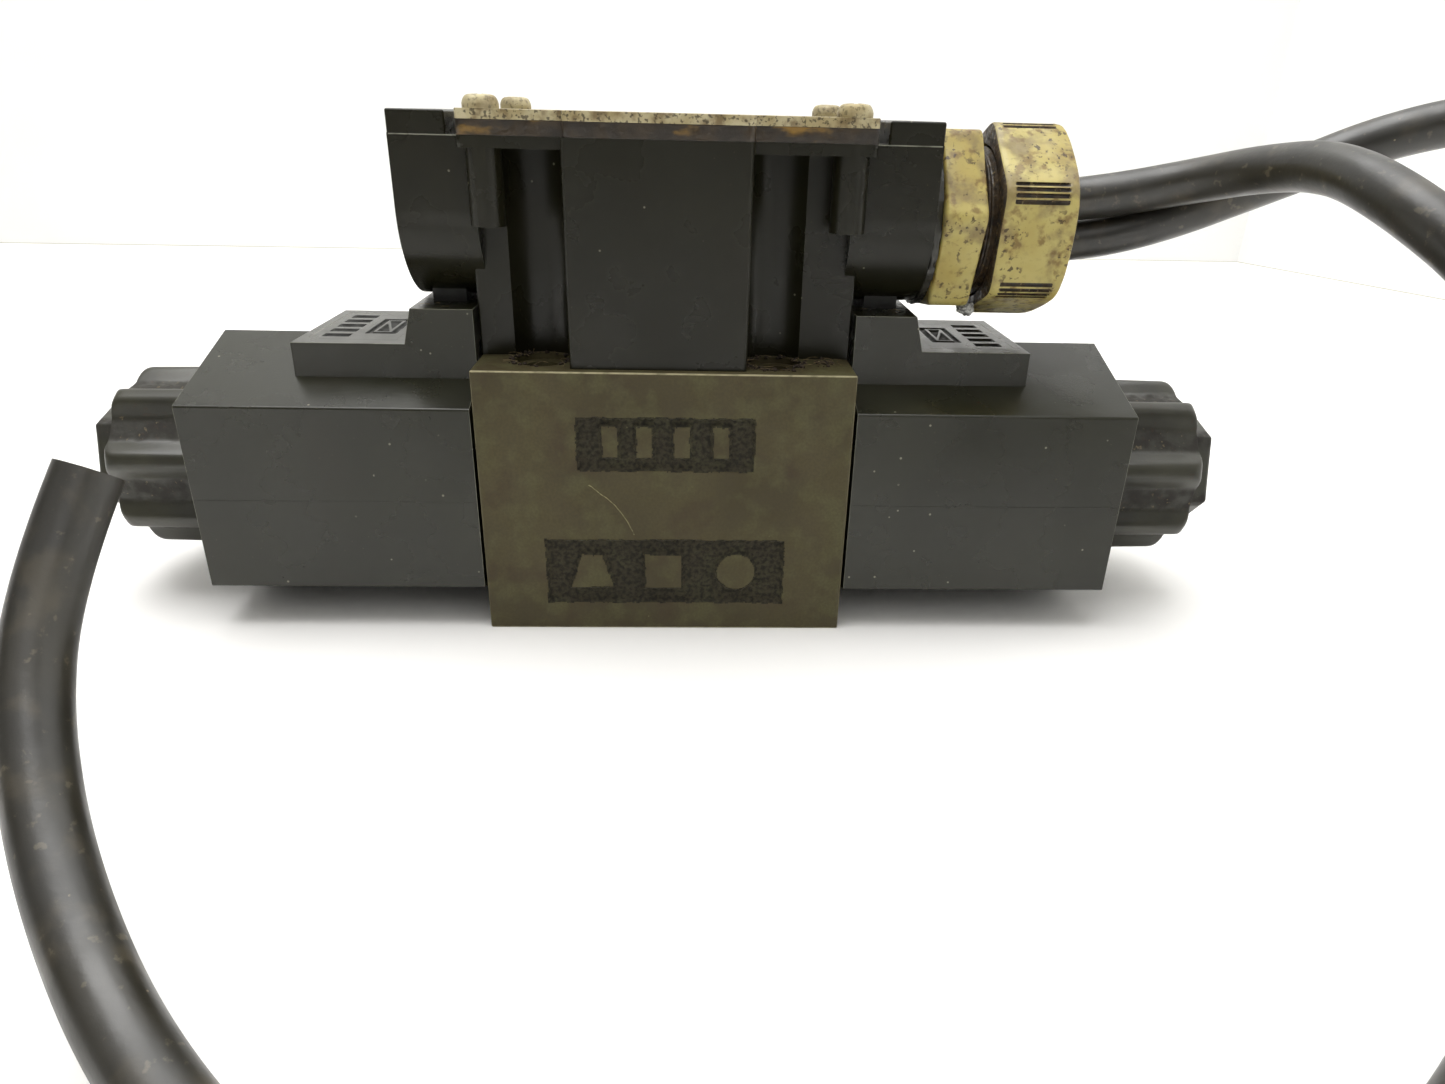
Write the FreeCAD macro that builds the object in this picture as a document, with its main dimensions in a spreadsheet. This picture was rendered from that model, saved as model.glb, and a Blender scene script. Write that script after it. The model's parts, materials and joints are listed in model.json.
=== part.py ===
"""Double-solenoid directional control valve, size 6, with a terminal box and two flying cables.

Frame: X runs along the spool, Y points to the back, +Z is up.  The origin is the centre of the
mounting face of the valve body.  All lengths are in millimetres.
"""
import FreeCAD, Part
import Sketcher
import math
import os
from FreeCAD import Placement, Rotation, Vector

doc = FreeCAD.newDocument("solenoid_directional_valve")

# ---------------------------------------------------------------- driving dimensions
SIZES = {
    # valve body and its bolt and port pattern (size 6 interface)
    "body_length": 65.0,
    "body_width": 48.0,
    "body_height": 48.7,
    "axis_height": 25.0,
    "edge_break": 0.35,
    "bolt_left": 21.5,
    "bolt_left_spread": 15.5,
    "bolt_right": 19.0,
    "bolt_right_spread": 16.25,
    "bolt_hole_radius": 2.75,
    "spotface_radius": 4.75,
    "spotface_depth": 1.0,
    "port_radius": 3.75,
    "port_offset_y": 10.4,
    "port_a_offset": 8.8,
    "port_b_offset": 8.7,
    "ring_seat_radius": 6.1,
    "ring_seat_depth": 1.45,
    "mark_depth": 0.8,
    # spool bore
    "bore_radius": 6.0,
    "gallery_radius": 8.8,
    "gallery_half": 1.9,
    "tank_gallery_radius": 11.0,
    "tank_gallery_inner": 15.3,
    "tank_gallery_outer": 18.8,
    "chamber_start": 22.3,
    "tube_thread_radius": 10.9,
    # spool and the train that moves with it
    "spool_radius": 5.975,
    "spool_neck_radius": 4.2,
    "spool_stem_radius": 4.6,
    "spool_half": 25.5,
    "seat_radius": 7.3,
    "seat_thickness": 1.5,
    "seat_nose_radius": 4.6,
    "seat_nose": 2.0,
    "wire_radius": 0.55,
    "spring_radius": 6.3,
    "spring_pitch": 2.5,
    "push_pin_radius": 2.0,
    "armature_start": 51.5,
    "armature_end": 75.5,
    "armature_radius": 7.53,
    "manual_pin_radius": 3.0,
    "manual_pin_end": 100.5,
    # solenoid tube
    "tube_radius": 9.6,
    "tube_bore": 7.6,
    "spring_pocket_radius": 8.2,
    "spring_pocket_end": 38.3,
    "pole_face": 48.0,
    "tube_end": 84.0,
    "plug_start": 79.0,
    "plug_end": 97.0,
    "plug_thread_radius": 8.95,
    # coil
    "coil_start": 33.1,
    "coil_end": 82.3,
    "coil_half_depth": 23.5,
    "coil_flank_half": 16.85,
    "coil_ridge_half": 24.65,
    "coil_bore": 9.75,
    "yoke_start": 36.5,
    "yoke_end": 80.0,
    "yoke_radius": 20.9,
    "yoke_wall": 1.8,
    "yoke_plate": 3.0,
    "bobbin_wall": 1.25,
    "bobbin_flange": 1.5,
    "plate_end": 64.9,
    "plate_half_depth": 14.5,
    "plate_top": 50.8,
    "step_foot": 45.3,
    "step_brow": 43.8,
    "step_top": 56.9,
    # coil nut
    "nut_start": 82.4,
    "nut_end": 101.2,
    "nut_rounding": 2.0,
    "nut_crest_radius": 17.2,
    "nut_root_radius": 14.3,
    "nut_hex_flat": 10.9,
    "nut_hex_end": 105.0,
    "nut_thread_radius": 9.0,
    "nut_thread_end": 97.2,
    # terminal box
    "block_left": 16.05,
    "block_right": 13.8,
    "block_half_depth": 22.1,
    "rib_left": 32.6,
    "rib_right": 32.7,
    "rib_half_depth": 12.3,
    "channel_radius": 6.05,
    "ear_start": 30.8,
    "ear_left": 43.9,
    "ear_right": 44.9,
    "ear_radius": 15.75,
    "ear_centre": 73.2,
    "ear_top": 88.0,
    "box_top": 84.5,
    "box_wall": 2.2,
    "flange_bottom": 82.7,
    "shoulder_half_depth": 19.4,
    "boss_left": 28.7,
    "boss_right": 29.9,
    "boss_spread": 16.6,
    "boss_radius": 2.9,
    "boss_bottom": 70.9,
    "lid_left": 32.4,
    "lid_right": 33.6,
    "lid_bottom": 86.8,
    "lid_top": 88.3,
    "screw_radius": 1.5,
    "screw_head_radius": 2.85,
    "screw_head_height": 2.1,
    # cable gland and cables
    "gland_height": 71.5,
    "gland_start": 42.0,
    "washer_end": 46.4,
    "gland_hex_end": 53.6,
    "gland_hex_flat": 14.6,
    "gland_neck_radius": 12.7,
    "gland_bore": 9.9,
    "gland_nut_start": 56.0,
    "gland_nut_end": 69.0,
    "gland_nut_flat": 15.0,
    "gland_nut_mouth": 9.5,
    "cable_diameter": 7.4,
}

sheet = doc.addObject("Spreadsheet::Sheet", "sizes")
for row, (alias, number) in enumerate(SIZES.items(), start=1):
    sheet.set(f"A{row}", str(number))
    sheet.setAlias(f"A{row}", alias)
doc.recompute()


class Size:
    """A length that knows its value and the spreadsheet expression it comes from."""

    def __init__(self, value, text):
        self.value = value
        self.text = text

    def __add__(self, other):
        other = as_size(other)
        return Size(self.value + other.value, f"({self.text} + {other.text})")

    def __sub__(self, other):
        other = as_size(other)
        return Size(self.value - other.value, f"({self.text} - {other.text})")

    def __rsub__(self, other):
        return as_size(other) - self

    def __mul__(self, factor):
        return Size(self.value * factor, f"({self.text} * {factor:.9f})")

    def __neg__(self):
        return self * -1

    __radd__ = __add__
    __rmul__ = __mul__


def as_size(number):
    """Turn a plain number into a Size, and leave a Size as it is."""
    return number if isinstance(number, Size) else Size(number, f"{number:.9f}")


def mm(alias):
    """The named driving dimension."""
    return Size(SIZES[alias], f"sizes.{alias}")


def bind(target, path, size):
    """Drive one property of a document object from the spreadsheet."""
    target.setExpression(path, as_size(size).text)


# ---------------------------------------------------------------- building blocks
AXIS_TURN = {
    "X": Rotation(Vector(0, 1, 0), 90),
    "Y": Rotation(Vector(1, 0, 0), -90),
    "Z": Rotation(),
}
NODES = []


def keep(label, thing):
    """Name a finished sub-part and put it on the list of nodes."""
    thing.Label = label
    NODES.append(thing)
    return thing


def place(thing, x, y, z, axis="Z"):
    """Turn a primitive's own Z onto an axis and bind its position."""
    thing.Placement = Placement(Vector(0, 0, 0), AXIS_TURN[axis])
    for letter, size in zip("xyz", (x, y, z)):
        bind(thing, f"Placement.Base.{letter}", size)
    return thing


def block(name, x, y, z):
    """A box between two planes on each axis."""
    thing = doc.addObject("Part::Box", name)
    for side, (low, high) in zip(("Length", "Width", "Height"), (x, y, z)):
        bind(thing, side, as_size(high) - low)
    return place(thing, x[0], y[0], z[0])


def rod(name, axis, radius, start, end, across):
    """A cylinder along an axis; across gives the two other coordinates in X, Y, Z order."""
    thing = doc.addObject("Part::Cylinder", name)
    bind(thing, "Radius", radius)
    bind(thing, "Height", as_size(end) - start)
    spot = list(across)
    spot.insert("XYZ".index(axis), start)
    return place(thing, *spot, axis=axis)


def ring(name, axis, large, small, centre):
    """A seal ring of round section."""
    thing = doc.addObject("Part::Torus", name)
    bind(thing, "Radius1", large)
    bind(thing, "Radius2", small)
    return place(thing, *centre, axis=axis)


def join(name, things):
    """One solid from several that overlap."""
    thing = doc.addObject("Part::MultiFuse", name)
    thing.Shapes = things
    return thing


def cut(name, base, tools):
    """The base with every tool taken out of it."""
    tool = tools[0] if len(tools) == 1 else join(name + "_tools", tools)
    thing = doc.addObject("Part::Cut", name)
    thing.Base = base
    thing.Tool = tool
    return thing


def common(name, one, other):
    """What two solids share."""
    thing = doc.addObject("Part::Common", name)
    thing.Base = one
    thing.Tool = other
    return thing


def group(name, things):
    """Separate solids that are stored as one node."""
    thing = doc.addObject("Part::Compound", name)
    thing.Links = things
    return thing


def rounded(name, base, radius, axes):
    """The base with every straight edge that lies along the named axes rounded."""
    doc.recompute()
    picked = []
    for number, edge in enumerate(base.Shape.Edges, start=1):
        run = edge.Vertexes[-1].Point - edge.Vertexes[0].Point
        if any(abs(run.normalize()[axis]) > 0.999 for axis in axes):
            picked.append((number, radius, radius))
    thing = doc.addObject("Part::Fillet", name)
    thing.Base = base
    thing.Edges = picked
    return thing


def outline(body, name, plane, points):
    """A closed sketch of straight lines whose corners are bound to the spreadsheet."""
    sketch = body.newObject("Sketcher::SketchObject", name)
    support = next(item for item in body.Origin.OriginFeatures if item.Role == plane)
    sketch.AttachmentSupport = [(support, "")]
    sketch.MapMode = "FlatFace"
    corners = [(as_size(first), as_size(second)) for first, second in points]
    count = len(corners)
    for index in range(count):
        here = corners[index]
        after = corners[(index + 1) % count]
        start = Vector(here[0].value, here[1].value, 0)
        end = Vector(after[0].value, after[1].value, 0)
        sketch.addGeometry(Part.LineSegment(start, end), False)
    for index in range(count):
        sketch.addConstraint(Sketcher.Constraint("Coincident", index, 2, (index + 1) % count, 1))
    for index, corner in enumerate(corners):
        for kind, size in zip(("DistanceX", "DistanceY"), corner):
            rule = sketch.addConstraint(Sketcher.Constraint(kind, -1, 1, index, 1, size.value))
            sketch.setExpression(f"Constraints[{rule}]", size.text)
    return sketch


def turned(name, points, height="axis_height"):
    """A body turned about an axis along X from (distance along X, radius) corners."""
    body = doc.addObject("PartDesign::Body", name)
    sketch = outline(body, name + "_section", "XY_Plane", points)
    turn = body.newObject("PartDesign::Revolution", name + "_turn")
    turn.Profile = sketch
    turn.ReferenceAxis = (sketch, ["H_Axis"])
    turn.Angle = 360.0
    bind(body, "Placement.Base.z", mm(height))
    return body


def prism(name, points, start, length):
    """A body with a constant (Y, Z) section, padded along X from start."""
    body = doc.addObject("PartDesign::Body", name)
    sketch = outline(body, name + "_section", "YZ_Plane", points)
    pad = body.newObject("PartDesign::Pad", name + "_pad")
    pad.Profile = sketch
    bind(pad, "Length", length)
    bind(body, "Placement.Base.x", start)
    return body


def slab(name, points, half_depth):
    """A body with a constant (X, Z) section, as deep to the front as to the back."""
    body = doc.addObject("PartDesign::Body", name)
    sketch = outline(body, name + "_section", "XZ_Plane", points)
    pad = body.newObject("PartDesign::Pad", name + "_pad")
    pad.Profile = sketch
    bind(pad, "Length", half_depth * 2)
    bind(body, "Placement.Base.y", half_depth)
    return body


def stairs(start, steps):
    """Section corners of a solid shaft: each step is (end along X, radius)."""
    corners = [(start, 0)]
    for end, radius in steps:
        corners += [(start, radius), (end, radius)]
        start = end
    return corners + [(start, 0)]


def sleeve(start, outer, inner):
    """Section corners of a hollow shaft with steps outside and inside."""
    outside = stairs(start, outer)[1:-1]
    inside = stairs(start, inner)[1:-1]
    return outside + inside[::-1]


def polygon(count, radius, first, height):
    """Corners of a regular polygon in the (Y, Z) plane; first is in degrees from -Y upward."""
    angles = [math.radians(first + 360.0 * index / count) for index in range(count)]
    return [(-(radius * math.cos(angle)), height + radius * math.sin(angle)) for angle in angles]


def between(side, near, far):
    """The X range between two distances from the middle, on the left (-1) or right (+1)."""
    near, far = as_size(near), as_size(far)
    return (near, far) if side > 0 else (-far, -near)


def mirrored(side, points):
    """Section corners measured outward from the middle, moved to one side."""
    return [(as_size(along) * side, radius) for along, radius in points]


SIDES = {"left": -1, "right": 1}
HEX_CORNER = 1 / math.cos(math.radians(30))
axis_height = mm("axis_height")
body_height = mm("body_height")

# ---------------------------------------------------------------- valve body
BOLTS = {
    "front_left": (-mm("bolt_left"), -mm("bolt_left_spread")),
    "back_left": (-mm("bolt_left"), mm("bolt_left_spread")),
    "front_right": (mm("bolt_right"), -mm("bolt_right_spread")),
    "back_right": (mm("bolt_right"), mm("bolt_right_spread")),
}
PORTS = {
    "p": (as_size(0), mm("port_offset_y")),
    "t": (as_size(0), -mm("port_offset_y")),
    "a": (-mm("port_a_offset"), as_size(0)),
    "b": (mm("port_b_offset"), as_size(0)),
}
PORT_DEPTH = {"p": 25.0, "t": 17.0, "a": 18.0, "b": 18.0}
BOX_SCREWS = [(-1.1, -13.0), (-1.1, 13.0)]


def bore_steps():
    """The spool bore from end to end: threads, tank galleries and the P, A and B galleries."""
    bore, gallery = mm("bore_radius"), mm("gallery_radius")
    half = mm("gallery_half")
    tank_in, tank_out = mm("tank_gallery_inner"), mm("tank_gallery_outer")
    chamber, mouth = mm("chamber_start"), mm("body_length") * 0.5 + 1
    steps = [(-chamber, mm("tube_thread_radius")), (-tank_out, bore), (-tank_in, mm("tank_gallery_radius"))]
    for centre in (-mm("port_a_offset"), as_size(0), mm("port_b_offset")):
        steps += [(centre - half, bore), (centre + half, gallery)]
    steps += [(tank_in, bore), (tank_out, mm("tank_gallery_radius")), (chamber, bore)]
    steps.append((mouth, mm("tube_thread_radius")))
    return -mouth, steps


def make_valve_body():
    half_x, half_y = mm("body_length") * 0.5, mm("body_width") * 0.5
    blank = block("body_blank", (-half_x, half_x), (-half_y, half_y), (as_size(0), body_height))
    blank = rounded("body_casting", blank, SIZES["edge_break"], (0, 1, 2))
    start, steps = bore_steps()
    tools = [turned("spool_bore", stairs(start, steps))]
    tools.append(rod("tank_passage", "X", 3.5, -17.0, 17.0, (-9.6, 14.6)))
    for name, (x, y) in PORTS.items():
        tools.append(rod(f"port_{name}", "Z", mm("port_radius"), -1, PORT_DEPTH[name], (x, y)))
        tools.append(rod(f"ring_seat_{name}", "Z", mm("ring_seat_radius"), -1, mm("ring_seat_depth"), (x, y)))
    for name, (x, y) in BOLTS.items():
        tools.append(rod(f"bolt_hole_{name}", "Z", mm("bolt_hole_radius"), -1, body_height + 1, (x, y)))
        floor = body_height - mm("spotface_depth")
        tools.append(rod(f"spotface_{name}", "Z", mm("spotface_radius"), floor, body_height + 1, (x, y)))
    for number, spot in enumerate(BOX_SCREWS, start=1):
        tools.append(rod(f"box_screw_hole_{number}", "Z", 2.0, body_height - 9, body_height + 1, spot))
    recess_y = (-half_y - 1, mm("mark_depth") - half_y)
    tools.append(block("upper_recess", (-15.5, 15.7), recess_y, (31.1, 41.1)))
    tools.append(block("lower_recess", (-21.7, 21.8), recess_y, (5.2, 18.3)))
    keep("valve_body", cut("valve_body", blank, tools))
    rings = [
        ring(f"port_ring_{name}", "Z", 5.3, 0.68, (x, y, as_size(0.74))) for name, (x, y) in PORTS.items()
    ]
    keep("port_o_rings", group("port_o_rings", rings))


# ---------------------------------------------------------------- spool and its train
TRAIN_GAP = 0.05


def make_spool():
    """Two inner lands close A and B at rest; two end lands guide the spool in its bore."""
    land, neck, stem = mm("spool_radius"), mm("spool_neck_radius"), mm("spool_stem_radius")
    groove = land - 0.35
    half = mm("spool_half")
    steps = [(-22.0, stem), (-19.2, land), (-12.2, neck), (-9.2, land), (-8.8, groove), (-5.8, land)]
    steps += [(5.7, neck), (8.6, land), (9.0, groove), (12.1, land), (19.2, neck), (22.0, land), (half, stem)]
    keep("spool", turned("spool", stairs(-half, steps)))


def make_train(side_name, side):
    """The pieces that the spool and one armature push between them."""
    seat_start = mm("spool_half") + TRAIN_GAP
    seat_face = seat_start + mm("seat_thickness")
    nose_end = seat_face + mm("seat_nose")
    section = stairs(seat_start, [(seat_face, mm("seat_radius")), (nose_end, mm("seat_nose_radius"))])
    keep(f"spring_seat_{side_name}", turned(f"spring_seat_{side_name}", mirrored(side, section)))

    pin = between(side, nose_end + TRAIN_GAP, mm("armature_start") - TRAIN_GAP)
    name = f"push_pin_{side_name}"
    keep(name, rod(name, "X", mm("push_pin_radius"), *pin, (0, axis_height)))

    name = f"armature_{side_name}"
    reach = between(side, mm("armature_start"), mm("armature_end"))
    core = rod(name + "_core", "X", mm("armature_radius"), *reach, (0, axis_height))
    slots = [
        rod(f"{name}_slot_{number}", "X", 1.1, *between(side, 50, 77), (y, axis_height))
        for number, y in enumerate((-mm("armature_radius"), mm("armature_radius")), start=1)
    ]
    keep(name, cut(name, core, slots))

    section = stairs(mm("armature_end") + TRAIN_GAP, [(77.0, 3.0), (78.5, 3.9), (mm("manual_pin_end"), 3.0)])
    keep(f"manual_pin_{side_name}", turned(f"manual_pin_{side_name}", mirrored(side, section)))
    return seat_face


WIRE_SIDES = 16  # the round wire is built from this many narrow strips


def make_spring(side_name, side, seat_face):
    """A round-wire compression spring between the moving seat and the tube's spring pocket."""
    name = f"centering_spring_{side_name}"
    wire = mm("wire_radius")
    length = mm("spring_pocket_end") - seat_face - wire * 2 - 0.1
    base = Placement(Vector(0, 0, 0), Rotation(Vector(0, 1, 0), 90 * side))
    coil = doc.addObject("Part::Helix", name + "_line")
    bind(coil, "Pitch", mm("spring_pitch"))
    bind(coil, "Height", length)
    bind(coil, "Radius", mm("spring_radius"))
    coil.Placement = base
    start = Vector(SIZES["spring_radius"], 0, 0)
    section = doc.addObject("Part::RegularPolygon", name + "_section")
    section.Polygon = WIRE_SIDES
    bind(section, "Circumradius", wire)
    section.Placement = base.multiply(Placement(start, Rotation(Vector(1, 0, 0), 90)))
    foot = (seat_face + wire + TRAIN_GAP) * side
    for thing, offset in ((coil, 0), (section, section.Placement.Base.z)):
        bind(thing, "Placement.Base.x", foot)
        bind(thing, "Placement.Base.z", axis_height + offset)
    sweep = doc.addObject("Part::Sweep", name)
    sweep.Sections = [section]
    sweep.Spine = (coil, [])
    sweep.Solid = True
    sweep.Frenet = True
    keep(name, sweep)


# ---------------------------------------------------------------- solenoid tube, coil and nut
def make_tube(side_name, side):
    """The pressure-tight tube with its pole piece, its end plug and their seal rings."""
    nose_start, nose_end = mm("chamber_start") + TRAIN_GAP, mm("body_length") * 0.5
    nose, wall = mm("tube_thread_radius") - 0.05, mm("tube_radius")
    tube_end, plug_end = mm("tube_end"), mm("plug_end")
    outer = [(29.0, nose), (31.0, nose - 1.3), (nose_end, nose), (tube_end, wall)]
    inner = [
        (mm("spring_pocket_end"), mm("spring_pocket_radius")),
        (mm("pole_face"), mm("push_pin_radius") + 0.1),
        (tube_end, mm("tube_bore")),
    ]
    name = f"solenoid_tube_{side_name}"
    keep(name, turned(name, mirrored(side, sleeve(nose_start, outer, inner))))
    name = f"tube_o_ring_{side_name}"
    keep(name, ring(name, "X", 10.18, 0.62, (as_size(30.0) * side, 0, axis_height)))

    pin_hole = mm("manual_pin_radius") + 0.05
    inner = [(82.5, 4.2), (91.0, pin_hole), (93.0, 4.4), (plug_end, pin_hole)]
    outer = [(tube_end + TRAIN_GAP, mm("tube_bore") - 0.05), (plug_end, mm("plug_thread_radius"))]
    name = f"tube_end_plug_{side_name}"
    keep(name, turned(name, mirrored(side, sleeve(mm("plug_start"), outer, inner))))
    name = f"pin_o_ring_{side_name}"
    keep(name, ring(name, "X", 3.72, 0.64, (as_size(92.0) * side, 0, axis_height)))


def make_coil(side_name, side):
    """The moulded housing with its terminal plate and step, and the parts cast inside it."""
    start, end = mm("coil_start"), mm("coil_end")
    half_y, flank, ridge = mm("coil_half_depth"), mm("coil_flank_half"), mm("coil_ridge_half")
    bore = mm("coil_bore")
    low, high = between(side, start, end)
    section = [
        (-half_y, axis_height - flank),
        (-half_y, axis_height + flank),
        (0, axis_height + ridge),
        (half_y, axis_height + flank),
        (half_y, axis_height - flank),
        (0, axis_height - ridge),
    ]
    name = f"coil_{side_name}"
    housing = rounded(name + "_housing", prism(name + "_hexagon", section, low, high - low), 0.5, (0,))
    plate_y = mm("plate_half_depth")
    plate_x = between(side, start, mm("plate_end"))
    plate = block(name + "_plate", plate_x, (-plate_y, plate_y), (42, mm("plate_top")))
    plate = rounded(name + "_plate_edges", plate, 0.3, (1, 2))
    brow = [(start, 42), (start, mm("step_top")), (mm("step_brow"), mm("step_top"))]
    brow += [(mm("step_foot"), mm("plate_top")), (mm("step_foot"), 42)]
    step = slab(name + "_step", mirrored(side, brow), plate_y)
    moulding = join(name + "_moulding", [housing, plate, step])

    yoke_start, yoke_end, yoke = mm("yoke_start"), mm("yoke_end"), mm("yoke_radius")
    hollow = [(start + 1.9, 13.2), (yoke_start, bore), (yoke_end, yoke), (end + 1, bore)]
    tools = [turned(name + "_hollow", mirrored(side, stairs(start - 1, hollow)))]
    tools.append(block(name + "_label_recess", between(side, 47.5, 63.0), (-11.5, 11.5), (50.4, 52)))
    tools.append(block(name + "_grommet_seat", between(side, 35.5, 41.5), (-7, 7), (54.9, 58)))
    pin_x = between(side, 38.1, 38.9)
    pins = []
    for number, pin_y in enumerate(((-5.5, -2.5), (2.5, 5.5)), start=1):
        tools.append(block(f"{name}_pin_slot_{number}", pin_x, pin_y, (46.3, 56)))
        pins.append(block(f"{name}_pin_{number}", pin_x, pin_y, (46.3, 66)))
    keep(name, cut(name, moulding, tools))
    keep(f"coil_pins_{side_name}", group(f"coil_pins_{side_name}", pins))

    grommet = block(name + "_grommet_body", between(side, 35.55, 41.45), (-6.95, 6.95), (54.95, 61.5))
    name = f"pin_grommet_{side_name}"
    slots = [
        block(f"{name}_slot_{number}", pin_x, pin_y, (54, 63))
        for number, pin_y in enumerate(((-5.5, -2.5), (2.5, 5.5)), start=1)
    ]
    keep(name, cut(name, grommet, slots))

    wall, plate_depth = mm("yoke_wall"), mm("yoke_plate")
    gap = 0.05
    first, last = yoke_start + gap, yoke_end - gap
    room = yoke - gap - wall
    inner = [(first + plate_depth, bore), (last - plate_depth, room), (last, bore)]
    name = f"coil_yoke_{side_name}"
    keep(name, turned(name, mirrored(side, sleeve(first, [(last, yoke - gap)], inner))))
    spool_first, spool_last = first + plate_depth + gap, last - plate_depth - gap
    flange = mm("bobbin_flange")
    core = bore + mm("bobbin_wall")
    outer = [(spool_first + flange, room - gap), (spool_last - flange, core), (spool_last, room - gap)]
    name = f"coil_bobbin_{side_name}"
    keep(name, turned(name, mirrored(side, sleeve(spool_first, outer, [(spool_last, bore)]))))
    winding_first, winding_last = spool_first + flange + gap, spool_last - flange - gap
    section = sleeve(winding_first, [(winding_last, room - 0.7)], [(winding_last, core + gap)])
    name = f"coil_winding_{side_name}"
    keep(name, turned(name, mirrored(side, section)))
    name = f"coil_seal_{side_name}"
    keep(name, ring(name, "X", 11.9, 1.05, ((start + 0.85) * side, 0, axis_height)))


LOBES = 8
LOBE_TURN = 15.0
CREST_HALF, ROOT_HALF = 4.0, 8.0


def lobe_section():
    """Corners of the nut's grip: a flat crest and a flat root for every lobe."""
    step = 360.0 / LOBES
    corners = []
    for number in range(LOBES):
        middle = LOBE_TURN + number * step
        for angle, size in (
            (middle - CREST_HALF, mm("nut_crest_radius")),
            (middle + CREST_HALF, mm("nut_crest_radius")),
            (middle + step / 2 - ROOT_HALF, mm("nut_root_radius")),
            (middle + step / 2 + ROOT_HALF, mm("nut_root_radius")),
        ):
            corners += polygon(1, size, angle, axis_height)
    return corners


def make_nut(side_name, side):
    """The lobed hand nut with a hexagon for a spanner on its end."""
    name = f"coil_nut_{side_name}"
    start, end, tip = mm("nut_start"), mm("nut_end"), mm("nut_hex_end")
    crest, rounding = mm("nut_crest_radius"), mm("nut_rounding")
    low, high = between(side, start, end)
    grip = prism(name + "_lobes", lobe_section(), low, high - low)
    envelope = stairs(start, [(end - rounding, crest + 0.1)])[:-1] + [(end, crest - rounding), (end, 0)]
    grip = common(name + "_grip", grip, turned(name + "_envelope", mirrored(side, envelope)))
    low, high = between(side, end - 2, tip)
    corners = polygon(6, mm("nut_hex_flat") * HEX_CORNER, LOBE_TURN + 30, axis_height)
    hexagon = prism(name + "_hexagon", corners, low, high - low)
    room = (mm("nut_thread_end"), mm("nut_thread_radius"))
    core = stairs(start - 1, [(start + 2, 13.2), room, (tip + 1, 3.6)])
    thread = turned(name + "_thread", mirrored(side, core))
    keep(name, cut(name, join(name + "_blank", [grip, hexagon]), [thread]))
    name = f"nut_seal_{side_name}"
    keep(name, ring(name, "X", 12.15, 0.95, ((start + 1.0) * side, 0, axis_height)))


# ---------------------------------------------------------------- terminal box
BOSSES = [(-mm("boss_left"), -1), (-mm("boss_left"), 1), (mm("boss_right"), -1), (mm("boss_right"), 1)]


def lid_outline(name, low, high):
    """The stepped plate shape that the lid, its gasket and the box's flange share."""
    depth, deep = mm("shoulder_half_depth"), mm("block_half_depth")
    wide = block(name + "_wide", (-mm("lid_left"), mm("lid_right")), (-depth, depth), (low, high))
    middle_x = (-mm("block_left") + 0.3, mm("block_right") + 0.3)
    middle = block(name + "_deep", middle_x, (-deep, deep), (low, high))
    pieces = [
        rounded(name + "_wide_corners", wide, 0.8, (2,)),
        rounded(name + "_deep_corners", middle, 1.2, (2,)),
    ]
    return join(name, pieces)


def half_round(name, radius, x, centre):
    """The lower half of a cylinder along X, with a sliver above its centre to overlap a block."""
    lower = block(name + "_limit", x, (-(radius + 1), radius + 1), (centre - radius - 1, centre + 0.1))
    return common(name, rod(name + "_full", "X", radius, *x, (0, centre)), lower)


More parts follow.
